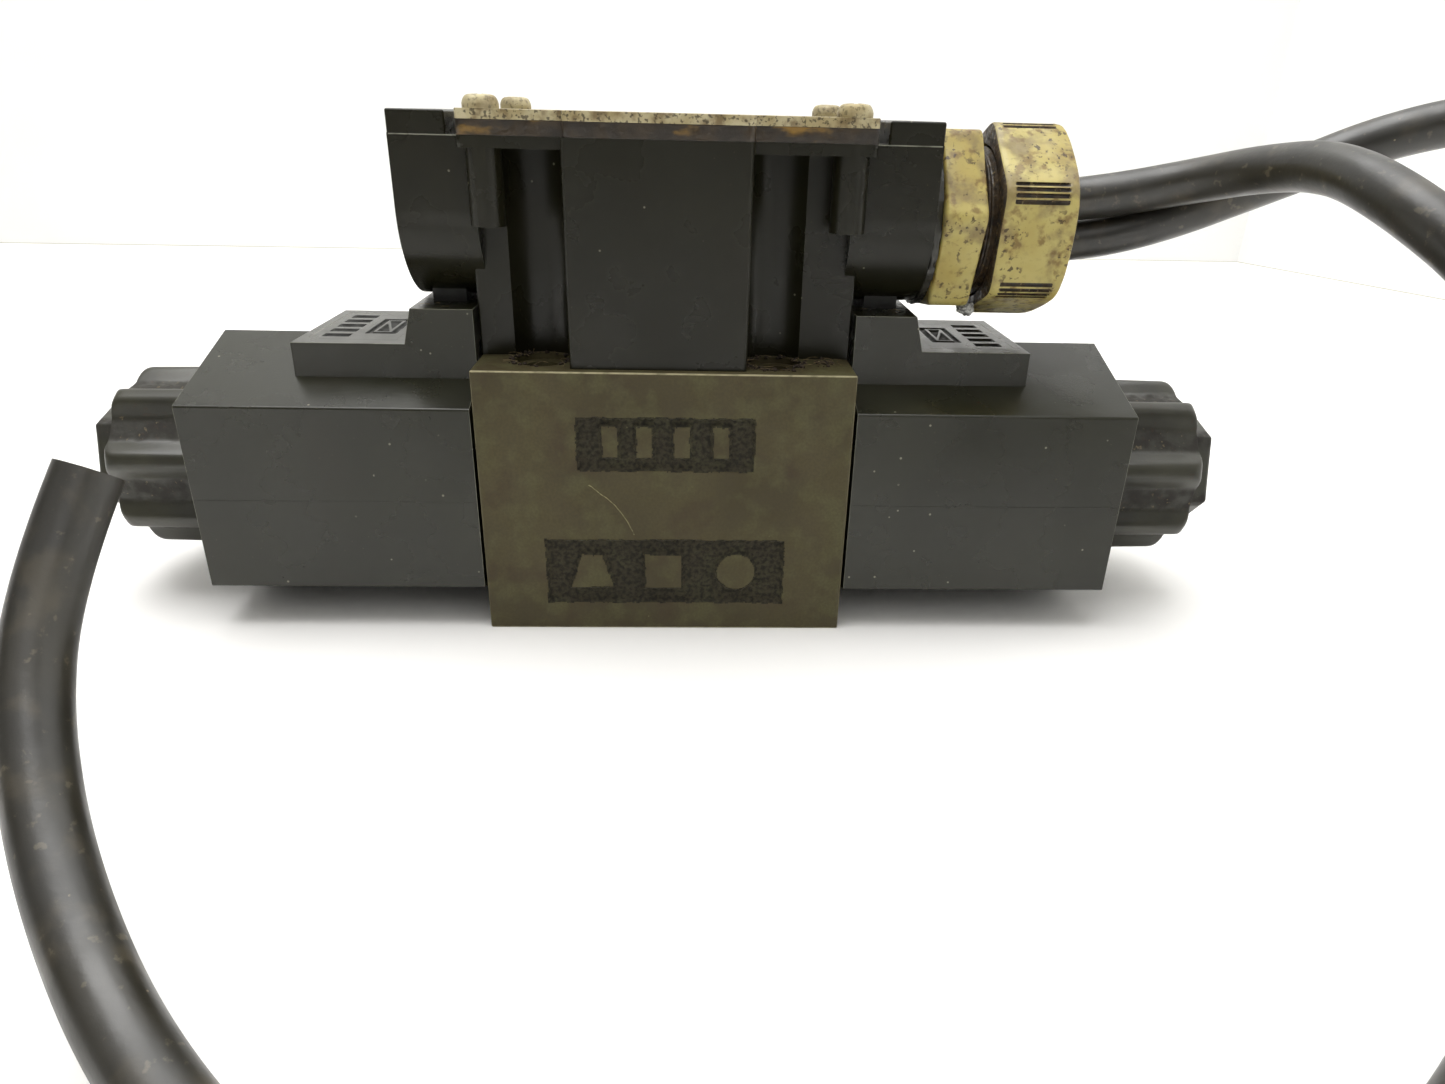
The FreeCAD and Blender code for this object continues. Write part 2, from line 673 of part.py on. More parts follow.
def make_terminal_box():
    top, wall = mm("box_top"), mm("box_wall")
    floor = body_height + 2.5
    deep, rib = mm("block_half_depth"), mm("rib_half_depth")
    middle_x = (-mm("block_left"), mm("block_right"))
    middle = rounded(
        "box_block_corners", block("box_block", middle_x, (-deep, deep), (body_height, top)), 0.6, (2,)
    )
    ribs = block("box_ribs", (-mm("rib_left"), mm("rib_right")), (-rib, rib), (body_height, top))
    ribs = rounded("box_rib_corners", ribs, 0.4, (2,))
    channels = [
        rod(f"channel_{name}", "Z", mm("channel_radius"), body_height - 1, mm("flange_bottom"), spot)
        for name, spot in BOLTS.items()
    ]
    ribs = cut("box_ribbed", ribs, channels)
    flange = lid_outline("box_flange", mm("flange_bottom"), top)
    shell = [middle, ribs, flange]
    round_part, centre = mm("ear_radius"), mm("ear_centre")
    tools = []
    for side_name, side, far, lid_end in (
        ("left", -1, mm("ear_left"), mm("lid_left")),
        ("right", 1, mm("ear_right"), mm("lid_right")),
    ):
        ear = f"ear_{side_name}"
        ear_x = between(side, mm("ear_start"), far)
        shell.append(half_round(ear + "_round", round_part, ear_x, centre))
        flat = block(ear + "_flat", ear_x, (-round_part, round_part), (centre, top))
        shell.append(flat)
        rim_x = between(side, lid_end + 2.3, far)
        rim = block(ear + "_rim", rim_x, (-round_part, round_part), (top - 2, mm("ear_top")))
        shell.append(rounded(ear + "_rim_edges", rim, 0.35, (0, 1, 2)))
        inside = round_part - wall
        room_x = between(side, mm("ear_start") + 1, far - wall)
        tools.append(half_round(ear + "_room", inside, room_x, centre))
        tools.append(block(ear + "_upper_room", room_x, (-inside, inside), (centre, top - 1.2)))
        passage_x = between(side, 29, mm("ear_start") + 1.5)
        tools.append(block(ear + "_passage", passage_x, (-7.5, 7.5), (62, top - 1.2)))
        tools.append(block(ear + "_grommet_hole", between(side, 35.5, 41.5), (-7, 7), (54, 61.5)))
    for number, (x, way) in enumerate(BOSSES, start=1):
        spot = (x, mm("boss_spread") * way)
        shell.append(rod(f"lid_boss_{number}", "Z", mm("boss_radius"), mm("boss_bottom"), top, spot))
        tools.append(rod(f"lid_boss_hole_{number}", "Z", mm("screw_radius") + 0.03, 74, top + 1, spot))
    deep_room, side_room = deep - wall, as_size(7.5)
    room_x = (middle_x[0] + wall, middle_x[1] - wall)
    tools.append(block("block_room", room_x, (-deep_room, deep_room), (floor, top + 1)))
    rib_room = (-mm("rib_left") + wall, mm("rib_right") - wall)
    tools.append(block("rib_room", rib_room, (-side_room, side_room), (floor, top + 1)))
    tools.append(block("lid_mouth", (-26.0, 27.0), (-side_room, side_room), (floor, top + 1)))
    tools.append(rod("gland_hole", "X", 12.3, 40, 46, (0, mm("gland_height"))))
    seal_low, seal_high = body_height - 1, body_height + 1
    groove = cut(
        "box_seal_groove",
        block("box_seal_groove_outer", (-12.0, 10.0), (-19.0, 19.0), (seal_low, seal_high)),
        [block("box_seal_groove_inner", (-10.0, 8.0), (-17.0, 17.0), (seal_low - 1, seal_high + 1))],
    )
    tools.append(groove)
    for number, spot in enumerate(BOX_SCREWS, start=1):
        tools.append(rod(f"box_screw_passage_{number}", "Z", 2.2, body_height - 1, floor + 1, spot))
    keep("terminal_box", cut("terminal_box", join("box_shell", shell), tools))

    seal_outer = block("box_seal_outer", (-11.95, 9.95), (-18.95, 18.95), (body_height, body_height + 0.95))
    seal_inner = block("box_seal_inner", (-10.05, 8.05), (-17.05, 17.05), (body_height - 1, body_height + 2))
    keep("box_seal", cut("box_seal", seal_outer, [seal_inner]))
    screws = []
    for number, spot in enumerate(BOX_SCREWS, start=1):
        shank = rod(f"box_screw_{number}_shank", "Z", 1.95, body_height - 8, floor + 1, spot)
        head = rod(f"box_screw_{number}_head", "Z", 3.5, floor, floor + 4, spot)
        socket = rod(f"box_screw_{number}_socket", "Z", 1.5, floor + 2, floor + 5, spot)
        screws.append(cut(f"box_screw_{number}", join(f"box_screw_{number}_blank", [shank, head]), [socket]))
    keep("box_screws", group("box_screws", screws))


def make_terminals():
    """The terminal strip that stands in the box, with its clamps and screws."""
    strip = block("strip_bar", (-12.0, 10.0), (-6.0, 6.0), (66.0, 74.0))
    legs = [
        block("strip_leg_left", (-12.0, -9.0), (-6.0, 6.0), (body_height + 2.5, as_size(67.0))),
        block("strip_leg_right", (7.0, 10.0), (-6.0, 6.0), (body_height + 2.5, as_size(67.0))),
    ]
    holes, clamps, screws = [], [], []
    for number in range(5):
        x = -9.0 + 4.0 * number
        holes.append(rod(f"terminal_hole_{number}", "Z", 1.3, 68, 75, (x, 0)))
        plate = block(f"terminal_plate_{number}", (x - 1.5, x + 1.5), (-5.5, 5.5), (74.05, 75.0))
        hole = rod(f"terminal_plate_hole_{number}", "Z", 1.3, 73, 76, (x, 0))
        clamps.append(cut(f"terminal_clamp_{number}", plate, [hole]))
        shank = rod(f"terminal_screw_{number}_shank", "Z", 1.25, 69, 76, (x, 0))
        head = rod(f"terminal_screw_{number}_head", "Z", 1.7, 75.05, 77, (x, 0))
        slot = block(f"terminal_screw_{number}_slot", (x - 2, x + 2), (-0.3, 0.3), (76.3, 78))
        blank = join(f"terminal_screw_{number}_blank", [shank, head])
        screws.append(cut(f"terminal_screw_{number}", blank, [slot]))
    keep("terminal_block", cut("terminal_block", join("strip_body", [strip] + legs), holes))
    keep("terminal_clamps", group("terminal_clamps", clamps))
    keep("terminal_screws", group("terminal_screws", screws))


def make_lid():
    """Packing, steel lid and its four pan-head screws."""
    low, high = mm("lid_bottom"), mm("lid_top")
    spots = [(x, mm("boss_spread") * way) for x, way in BOSSES]
    gasket_tools = [block("gasket_window", (-24.0, 25.0), (-12.0, 12.0), (84, 88))]
    lid_tools = []
    screws = []
    head_high = high + mm("screw_head_height")
    for number, spot in enumerate(spots, start=1):
        gasket_tools.append(rod(f"gasket_hole_{number}", "Z", 1.8, 84, 88, spot))
        lid_tools.append(rod(f"lid_hole_{number}", "Z", 1.7, 86, 89, spot))
        shank = rod(f"lid_screw_{number}_shank", "Z", mm("screw_radius"), 75, high + 0.5, spot)
        head = rod(f"lid_screw_{number}_head", "Z", mm("screw_head_radius"), high, head_high, spot)
        crown = doc.addObject("Part::Sphere", f"lid_screw_{number}_crown")
        bind(crown, "Radius", 4.2)
        place(crown, *spot, head_high - 4.2)
        blank = join(f"lid_screw_{number}_blank", [shank, common(f"lid_screw_{number}_pan", head, crown)])
        x, y = spot
        depth = (head_high - 1, head_high + 1)
        cross = [
            block(f"lid_screw_{number}_slot_x", (x - 1.5, x + 1.5), (y - 0.3, y + 0.3), depth),
            block(f"lid_screw_{number}_slot_y", (x - 0.3, x + 0.3), (y - 1.5, y + 1.5), depth),
        ]
        screws.append(cut(f"lid_screw_{number}", blank, cross))
    keep("lid_gasket", cut("lid_gasket", lid_outline("gasket_plate", mm("box_top"), low), gasket_tools))
    keep("lid", cut("lid", lid_outline("lid_plate", low, high), lid_tools))
    keep("lid_screws", group("lid_screws", screws))


# ---------------------------------------------------------------- cable gland and cables
FRONT_ROUTE = [
    (57, -1.6, 74.8),
    (69, -1.6, 75.3),
    (80, -3.8, 77),
    (89.5, -9.5, 79.6),
    (96, -19.5, 82.4),
    (99, -32.5, 83.6),
    (100.5, -46, 80),
    (106, -60, 72),
    (111, -74, 58.5),
    (112, -88.5, 40.5),
    (105.5, -101.5, 21),
    (91, -113.5, 7.5),
    (70, -129, 3.8),
    (42, -142.5, 3.8),
    (8, -146, 3.8),
    (-22, -136, 4),
    (-44, -121.5, 8.2),
    (-58.6, -106, 17.5),
    (-66.3, -92.5, 29),
    (-67.6, -82, 40),
    (-64.4, -75.5, 49.8),
]
REAR_ROUTE = [
    (57, 1.3, 67.4),
    (71.5, 1.3, 67.7),
    (87, -2.3, 71.4),
    (104, -9, 80.2),
    (121, -16, 89.2),
    (139, -26, 92.5),
    (151, -42, 85.5),
    (156, -61, 69),
    (156, -82, 47),
    (154, -103, 25),
    (147, -124, 9),
    (133, -142, 3.9),
    (111, -151, 3.7),
    (87, -150, 3.8),
]
ARC_SHARE = 0.45


def cable_line(points):
    """Straight runs joined by tangent arcs as large as the runs allow; also gives the radii."""
    edges, radii = [], []
    here = points[0]
    for before, corner, after in zip(points, points[1:], points[2:]):
        inward = (corner - before).normalize()
        onward = (after - corner).normalize()
        half_turn = inward.getAngle(onward) / 2
        reach = ARC_SHARE * min((corner - before).Length, (after - corner).Length)
        radius = reach / math.tan(half_turn)
        start, end = corner - inward * reach, corner + onward * reach
        to_centre = (onward - inward).normalize()
        middle = corner + to_centre * (radius / math.cos(half_turn) - radius)
        edges.append(Part.LineSegment(here, start).toShape())
        edges.append(Part.Arc(start, middle, end).toShape())
        radii.append(radius)
        here = end
    edges.append(Part.LineSegment(here, points[-1]).toShape())
    return Part.Wire(edges), radii


def make_cable(name, route):
    """A round cable along its route, with its volume compared to section times length."""
    points = [Vector(*point) for point in route]
    line, radii = cable_line(points)
    diameter = SIZES["cable_diameter"]
    section = Part.Wire(Part.makeCircle(diameter / 2, points[0], points[1] - points[0]))
    solid = line.makePipeShell([section], True, False)
    expected = math.pi * diameter**2 / 4 * line.Length
    print(f"{name}: length {line.Length:.1f} mm, volume ratio {solid.Volume / expected:.4f}")
    print("  arc radii:", ", ".join(f"{radius:.0f}" for radius in radii))
    thing = doc.addObject("Part::Feature", name)
    thing.Shape = solid
    keep(name, thing)


GLAND_BODY_TURN, GLAND_NUT_TURN = 8.0, 22.0


def make_gland():
    height = mm("gland_height")
    washer_end, hex_end = mm("washer_end"), mm("gland_hex_end")
    bore, neck = mm("gland_bore"), mm("gland_neck_radius")
    face = mm("ear_right") + 0.02
    washer = sleeve(face, [(washer_end, 14.8)], [(washer_end, 12.4)])
    keep("gland_washer", turned("gland_washer", washer, "gland_height"))

    corners = polygon(6, mm("gland_hex_flat") * HEX_CORNER, GLAND_BODY_TURN, height)
    hexagon = prism("gland_body_hexagon", corners, washer_end, hex_end - washer_end)
    hexagon = rounded("gland_body_corners", hexagon, 1.0, (0,))
    spigot_section = stairs(mm("gland_start"), [(washer_end + 1, 12.25), (66.0, neck)])
    spigot = turned("gland_body_spigot", spigot_section, "gland_height")
    core = turned("gland_body_bore", stairs(40.0, [(67.0, bore)]), "gland_height")
    keep("gland_body", cut("gland_body", join("gland_body_blank", [hexagon, spigot]), [core]))

    start, end = mm("gland_nut_start"), mm("gland_nut_end")
    mouth = mm("gland_nut_mouth")
    corners = polygon(6, mm("gland_nut_flat") * HEX_CORNER, GLAND_NUT_TURN, height)
    hexagon = prism("gland_nut_hexagon", corners, start, end - start)
    hexagon = rounded("gland_nut_corners", hexagon, 3.0, (0,))
    dome = stairs(start, [(end - 2.0, 18.0)])[:-1] + [(end, 15.6), (end, 0)]
    hexagon = common("gland_nut_blank", hexagon, turned("gland_nut_dome", dome, "gland_height"))
    core = stairs(start - 1, [(66.6, neck + 0.05), (end + 1, mouth)])
    keep("gland_nut", cut("gland_nut", hexagon, [turned("gland_nut_bore", core, "gland_height")]))

    plug = turned("gland_seal_plug", stairs(56.5, [(66.5, bore - 0.05), (68.6, mouth - 0.1)]), "gland_height")
    holes = [
        rod("gland_seal_hole_front", "X", 3.72, 56, 70, (-2.6, 75.2)),
        rod("gland_seal_hole_rear", "X", 3.72, 56, 70, (1.25, 67.55)),
    ]
    keep("gland_seal", cut("gland_seal", plug, holes))


# ---------------------------------------------------------------- build, check and write
make_valve_body()
make_spool()
for side_name, side in SIDES.items():
    seat_face = make_train(side_name, side)
    make_spring(side_name, side, seat_face)
    make_tube(side_name, side)
    make_coil(side_name, side)
    make_nut(side_name, side)
make_terminal_box()
make_terminals()
make_lid()
make_gland()
make_cable("cable_front", FRONT_ROUTE)
make_cable("cable_rear", REAR_ROUTE)
doc.recompute()

for thing in doc.Objects:
    if "Invalid" in thing.State or "Error" in thing.State:
        raise RuntimeError(f"{thing.Label} could not be built: {thing.State}")
for node in NODES:
    shape = node.Shape
    if shape.isNull() or not shape.isValid() or not shape.Solids:
        raise RuntimeError(f"{node.Label} has no valid solid")

os.makedirs("parts", exist_ok=True)
for node in NODES:
    node.Shape.exportStep(f"parts/{node.Label}.step")
    box = node.Shape.BoundBox
    sizes = f"{box.XLength:.2f} x {box.YLength:.2f} x {box.ZLength:.2f} mm"
    print(f"{node.Label}: {len(node.Shape.Solids)} solid, {node.Shape.Volume / 1000:.3f} cm3, {sizes}")
print(f"{len(NODES)} nodes")
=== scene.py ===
"""The looks of a used solenoid directional valve, built round its CAD frame.

+X runs along the spool, +Y to the back and +Z up, in metres.
"""
import json
import math
import random

import bmesh
import bpy
from mathutils import Matrix, Vector, noise


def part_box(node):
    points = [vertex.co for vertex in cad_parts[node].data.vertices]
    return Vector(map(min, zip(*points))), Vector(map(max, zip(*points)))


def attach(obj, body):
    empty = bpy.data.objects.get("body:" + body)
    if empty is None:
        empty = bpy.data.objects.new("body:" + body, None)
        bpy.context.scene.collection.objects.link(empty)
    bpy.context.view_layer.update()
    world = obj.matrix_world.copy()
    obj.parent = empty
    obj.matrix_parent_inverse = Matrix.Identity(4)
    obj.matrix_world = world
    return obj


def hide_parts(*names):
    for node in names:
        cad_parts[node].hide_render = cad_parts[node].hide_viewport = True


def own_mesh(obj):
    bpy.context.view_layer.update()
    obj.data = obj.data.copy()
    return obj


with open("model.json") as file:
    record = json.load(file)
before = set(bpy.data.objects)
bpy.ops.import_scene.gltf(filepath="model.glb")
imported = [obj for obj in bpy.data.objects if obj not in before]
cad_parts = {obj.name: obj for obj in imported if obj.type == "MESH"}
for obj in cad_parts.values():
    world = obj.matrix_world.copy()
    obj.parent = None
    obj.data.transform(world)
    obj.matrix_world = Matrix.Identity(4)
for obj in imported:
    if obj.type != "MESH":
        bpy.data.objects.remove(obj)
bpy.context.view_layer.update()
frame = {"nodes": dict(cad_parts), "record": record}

MM = 0.001
SIDES = {"left": -1, "right": 1}
NODES = frame["nodes"]
AXIS_HEIGHT = 25.0 * MM  # the spool's axis above the mounting face


def srgb(red, green, blue):
    """A colour given as 0 to 255 display values, as linear light with alpha."""
    values = [channel / 255 for channel in (red, green, blue)]
    return tuple(v / 12.92 if v <= 0.04045 else ((v + 0.055) / 1.055) ** 2.4 for v in values) + (1.0,)


def toned(tone, share):
    return srgb(*(channel * share for channel in tone))


# ---- camera and cables
CAMERA_PLACE = Vector((3.486, -178.989, 88.557)) * MM
CAMERA_YAW, CAMERA_PITCH, CAMERA_ROLL = 2.53, 24.5, 1.46
CAMERA_LENS = 23.47


def make_camera():
    data = bpy.data.cameras.new("main_camera")
    data.lens, data.sensor_width = CAMERA_LENS, 36.0
    data.clip_start, data.clip_end = 0.005, 20.0
    camera = bpy.data.objects.new("main_camera", data)
    turn = Matrix.Rotation(math.radians(-CAMERA_YAW), 4, "Z")
    tilt = Matrix.Rotation(math.radians(90 - CAMERA_PITCH), 4, "X")
    roll = Matrix.Rotation(math.radians(CAMERA_ROLL), 4, "Z")
    camera.matrix_world = Matrix.Translation(CAMERA_PLACE) @ turn @ tilt @ roll
    bpy.context.scene.collection.objects.link(camera)
    bpy.context.scene.camera = camera


CABLE_DIAMETER = 0.0074
FRONT_ROUTE = (
    (0.057, -0.0016, 0.0748),
    (0.069, -0.0016, 0.0753),
    (0.08, -0.0038, 0.077),
    (0.0895, -0.0095, 0.0796),
    (0.096, -0.0195, 0.0824),
    (0.099, -0.0325, 0.0836),
    (0.1005, -0.046, 0.08),
    (0.106, -0.06, 0.072),
    (0.111, -0.074, 0.0585),
    (0.112, -0.0885, 0.0405),
    (0.1055, -0.1015, 0.021),
    (0.091, -0.1135, 0.0075),
    (0.07, -0.129, 0.0038),
    (0.042, -0.1425, 0.0038),
    (0.008, -0.146, 0.0038),
    (-0.022, -0.136, 0.004),
    (-0.044, -0.1215, 0.0082),
    (-0.0586, -0.106, 0.0175),
    (-0.0663, -0.0925, 0.029),
    (-0.0676, -0.082, 0.04),
    (-0.0644, -0.0755, 0.0498),
)
REAR_ROUTE = (
    (0.057, 0.0013, 0.0674),
    (0.0715, 0.0013, 0.0677),
    (0.087, -0.0023, 0.0714),
    (0.104, -0.009, 0.0802),
    (0.121, -0.016, 0.0892),
    (0.139, -0.026, 0.0925),
    (0.151, -0.042, 0.0855),
    (0.156, -0.061, 0.069),
    (0.156, -0.082, 0.047),
    (0.154, -0.103, 0.025),
    (0.147, -0.124, 0.009),
    (0.133, -0.142, 0.0039),
    (0.111, -0.151, 0.0037),
    (0.087, -0.15, 0.0038),
)


def new_curve(name, roundness):
    """An empty round curve, as thick at each point as that point's own radius."""
    data = bpy.data.curves.new(name, "CURVE")
    data.dimensions = "3D"
    data.bevel_depth = 1.0
    data.bevel_resolution = roundness
    return data


def add_spline(data, kind, places, radius):
    spline = data.splines.new(kind)
    spline.points.add(len(places) - 1)
    for point, place in zip(spline.points, places):
        point.co = (*place, 1.0)
        point.radius = radius
    return spline


def make_cable(name, node, route):
    """One round cable: a smooth spline with the route's points as its control points."""
    data = new_curve(name, 8)
    data.resolution_u = 14
    data.use_fill_caps = True
    spline = add_spline(data, "NURBS", route, CABLE_DIAMETER / 2)
    spline.order_u = 3
    spline.use_endpoint_u = True
    cable = bpy.data.objects.new(name, data)
    bpy.context.scene.collection.objects.link(cable)
    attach(cable, "valve")
    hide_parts(node)
    return cable


make_camera()
front_cable = make_cable("front_cable", "cable_front", FRONT_ROUTE)
rear_cable = make_cable("rear_cable", "cable_rear", REAR_ROUTE)


# ---- materials
class Shader:
    """A procedural material laid out in the object's own coordinates, in metres."""

    def __init__(self, name, roughness=0.5, metallic=0.0, **sockets):
        self.material = bpy.data.materials.new(name)
        self.material.use_nodes = True
        self.tree = self.material.node_tree
        self.surface = self.tree.nodes["Principled BSDF"]
        self.surface.inputs["Roughness"].default_value = roughness
        self.surface.inputs["Metallic"].default_value = metallic
        for label, value in sockets.items():
            self.surface.inputs[label.replace("_", " ")].default_value = value
        self.place = self.tree.nodes.new("ShaderNodeTexCoord").outputs["Object"]

    def link(self, value, socket):
        """Puts a number, a colour or another node's output into a socket."""
        if isinstance(value, bpy.types.NodeSocket):
            self.tree.links.new(value, socket)
        else:
            socket.default_value = value

    def stretched(self, stretch):
        node = self.tree.nodes.new("ShaderNodeMapping")
        node.inputs["Scale"].default_value = stretch
        self.tree.links.new(self.place, node.inputs["Vector"])
        return node.outputs["Vector"]

    def grain(self, size, detail=4.0, stretch=None, twist=0.0):
        """Smooth noise from 0 to 1 whose blobs are about size metres across."""
        node = self.tree.nodes.new("ShaderNodeTexNoise")
        self.link(self.stretched(stretch) if stretch else self.place, node.inputs["Vector"])
        node.inputs["Scale"].default_value = 1 / size
        node.inputs["Detail"].default_value = detail
        node.inputs["Distortion"].default_value = twist
        return node.outputs["Fac"]

    def cells(self, size, stretch=None):
        """Distance to the nearest of scattered points, in cells size metres across."""
        node = self.tree.nodes.new("ShaderNodeTexVoronoi")
        self.link(self.stretched(stretch) if stretch else self.place, node.inputs["Vector"])
        node.inputs["Scale"].default_value = 1 / size
        return node.outputs["Distance"]

    def span(self, value, low, high, first=0.0, last=1.0):
        """Value from low to high, moved to first to last and held there outside."""
        node = self.tree.nodes.new("ShaderNodeMapRange")
        node.interpolation_type = "SMOOTHSTEP"
        for label, number in zip(("From Min", "From Max", "To Min", "To Max"), (low, high, first, last)):
            node.inputs[label].default_value = number
        self.link(value, node.inputs["Value"])
        return node.outputs["Result"]

    def blobs(self, size, detail, low, high, first=0.0, last=1.0):
        """Grain whose values from low to high are moved to first to last."""
        return self.span(self.grain(size, detail), low, high, first, last)

    def sums(self, operation, first, second=0.0):
        node = self.tree.nodes.new("ShaderNodeMath")
        node.operation = operation
        self.link(first, node.inputs[0])
        self.link(second, node.inputs[1])
        return node.outputs[0]

    def product(self, first, *others):
        for other in others:
            first = self.sums("MULTIPLY", first, other)
        return first

    def blend(self, share, first, second):
        """First colour where share is 0, second where it is 1."""
        node = self.tree.nodes.new("ShaderNodeMix")
        node.data_type = "RGBA"
        self.link(share, node.inputs[0])
        self.link(first, node.inputs[6])
        self.link(second, node.inputs[7])
        return node.outputs[2]

    def axis(self, letter):
        node = self.tree.nodes.new("ShaderNodeSeparateXYZ")
        self.tree.links.new(self.place, node.inputs[0])
        return node.outputs[letter]

    def facing(self, letter):
        """How far the surface faces along an axis, from -1 to 1, in the object's own frame."""
        source = self.tree.nodes.new("ShaderNodeTexCoord")
        node = self.tree.nodes.new("ShaderNodeSeparateXYZ")
        self.tree.links.new(source.outputs["Normal"], node.inputs[0])
        return node.outputs[letter]

    def bumps(self, height, depth):
        """Dents and grains up to depth metres deep."""
        node = self.tree.nodes.new("ShaderNodeBump")
        node.inputs["Distance"].default_value = depth
        self.link(height, node.inputs["Height"])
        if self.surface.inputs["Normal"].is_linked:
            self.tree.links.new(self.surface.inputs["Normal"].links[0].from_socket, node.inputs["Normal"])
        self.tree.links.new(node.outputs["Normal"], self.surface.inputs["Normal"])

    def done(self, colour, roughness=None):
        self.link(colour, self.surface.inputs["Base Color"])
        if roughness is not None:
            self.link(roughness, self.surface.inputs["Roughness"])
        return self.material


def iron(name, cast=False, worn=True):
    """Phosphated iron: dark olive brown and ground smooth, bare on worn edges, rough and black as cast."""
    s = Shader(name, Specular_IOR_Level=0.28)
    broad = s.blobs(0.016, 3, 0.35, 0.65)
    colour = s.blend(broad, srgb(67, 60, 38), srgb(77, 70, 45))
    olive = s.blobs(0.0042, 6, 0.46, 0.68, 0.0, 0.6)
    colour = s.blend(olive, colour, srgb(86, 84, 54))
    brown = s.blobs(0.0075, 5, 0.52, 0.72, 0.0, 0.5)
    colour = s.blend(brown, colour, srgb(60, 47, 33))
    fine = s.blobs(0.0005, 4, 0.35, 0.65, 0.0, 0.3)
    colour = s.blend(fine, colour, srgb(58, 52, 38))
    specks = s.span(s.cells(0.0024), 0.07, 0.035)
    rare = s.blobs(0.004, 2, 0.56, 0.62)
    share = s.product(specks, rare, 0.5)
    colour = s.blend(share, colour, srgb(150, 144, 104))
    if cast:
        pits = s.grain(0.0008, 6)
        colour = s.blend(s.span(pits, 0.34, 0.62, 0.92, 0.55), colour, srgb(30, 29, 24))
        s.bumps(pits, 0.0005)
        return s.done(colour, s.span(pits, 0.3, 0.7, 0.85, 0.6))
    if worn:
        colour = bare_edges(s, colour)
    s.bumps(s.grain(0.0006, 4), 0.00002)
    s.bumps(s.grain(0.006, 3), 0.00005)
    return s.done(colour, s.blobs(0.004, 5, 0.3, 0.7, 0.5, 0.66))


def bare_edges(s, colour):
    """The colour with pale bare metal on the block's chamfers, which face between its flat sides."""
    bare = s.product(s.facing("Y"), s.facing("Z"))
    upright = s.product(s.facing("X"), s.facing("Y"))
    flank = s.sums("GREATER_THAN", s.sums("ABSOLUTE", s.axis("X")), 0.0321)
    upright = s.product(upright, flank, 0.45)
    edges = s.sums("MAXIMUM", s.sums("ABSOLUTE", bare), s.sums("ABSOLUTE", upright))
    chips = s.blobs(0.0022, 5, 0.30, 0.58, 0.35, 0.95)
    share = s.product(s.span(edges, 0.12, 0.4), chips)
    return s.blend(share, colour, srgb(160, 152, 120))


def moulding(name, tone, dust=0.5, edge=False, gloss=0.48):
    """Moulded black resin with a faint grey bloom, brown smudges and dust specks, and with edge set a pale
    painted highlight.
    """
    s = Shader(name, Specular_IOR_Level=gloss)
    light = tuple(channel * 1.08 + 1 for channel in tone)
    colour = s.blend(s.blobs(0.022, 3, 0.3, 0.7), toned(tone, 0.93), srgb(*light))
    streaks = s.span(s.grain(0.0013, 3, stretch=(0.06, 1, 1)), 0.35, 0.75, 0.0, 0.10)
    colour = s.blend(streaks, colour, toned(tone, 1.3))
    brown = s.blobs(0.013, 5, 0.54, 0.72, 0.0, 0.30)
    colour = s.blend(brown, colour, srgb(tone[0] * 1.05, tone[1] * 0.88, tone[2] * 0.75))
    specks = s.span(s.cells(0.0030), 0.085, 0.05)
    few = s.blobs(0.0061, 2, 0.53, 0.58)
    share = s.product(specks, few, dust)
    colour = s.blend(share, colour, srgb(176, 172, 150))
    motes = s.span(s.cells(0.0011), 0.10, 0.05)
    dusty = s.blobs(0.009, 4, 0.52, 0.64, 0.0, 0.6)
    share = s.product(motes, dusty, dust)
    colour = s.blend(share, colour, srgb(120, 112, 84))
    # Painted highlight: a pale colour standing in for light caught by rounded edges, not a colour of the
    # resin.
    if edge:
        colour = s.blend(s.blobs(0.004, 4, 0.3, 0.6, 0.25, 0.6), colour, srgb(164, 164, 146))
    s.bumps(s.grain(0.0005, 3), 0.00001)
    s.bumps(s.grain(0.012, 3), 0.00005)
    return s.done(colour, s.blobs(0.012, 5, 0.3, 0.7, 0.24, 0.34))


def grimy_nut(name, tone):
    """The hand nuts' resin: glossy on its lobes, with oily brown dirt packed between them."""
    s = Shader(name, Specular_IOR_Level=0.55)
    rise = s.sums("SUBTRACT", s.axis("Z"), AXIS_HEIGHT)
    reach = s.sums("ADD", s.product(s.axis("Y"), s.axis("Y")), s.product(rise, rise))
    reach = s.sums("SQRT", reach)
    broad = s.blobs(0.006, 4, 0.3, 0.7)
    colour = s.blend(broad, toned(tone, 0.88), toned(tone, 1.12))
    ragged = s.sums("ADD", reach, s.product(s.grain(0.0022, 5), 0.0012))
    root = s.product(s.span(ragged, 0.0156, 0.0146), s.span(reach, 0.0112, 0.0122))
    film = s.product(root, s.blobs(0.0030, 5, 0.30, 0.62, 0.35, 0.95))
    colour = s.blend(film, colour, srgb(30, 26, 19))
    crumbs = s.blobs(0.0008, 4, 0.58, 0.66, 0.0, 0.6)
    patch = s.blobs(0.0045, 3, 0.45, 0.6)
    crumbs = s.product(crumbs, s.product(patch, s.span(reach, 0.0122, 0.0135)))
    colour = s.blend(crumbs, colour, srgb(52, 38, 24))
    tan = s.blobs(0.0009, 4, 0.64, 0.70, 0.0, 0.5)
    colour = s.blend(s.product(tan, root), colour, srgb(128, 112, 80))
    s.bumps(film, 0.00008)
    s.bumps(s.grain(0.0006, 4), 0.00002)
    return s.done(colour, s.span(film, 0.1, 0.9, 0.38, 0.75))


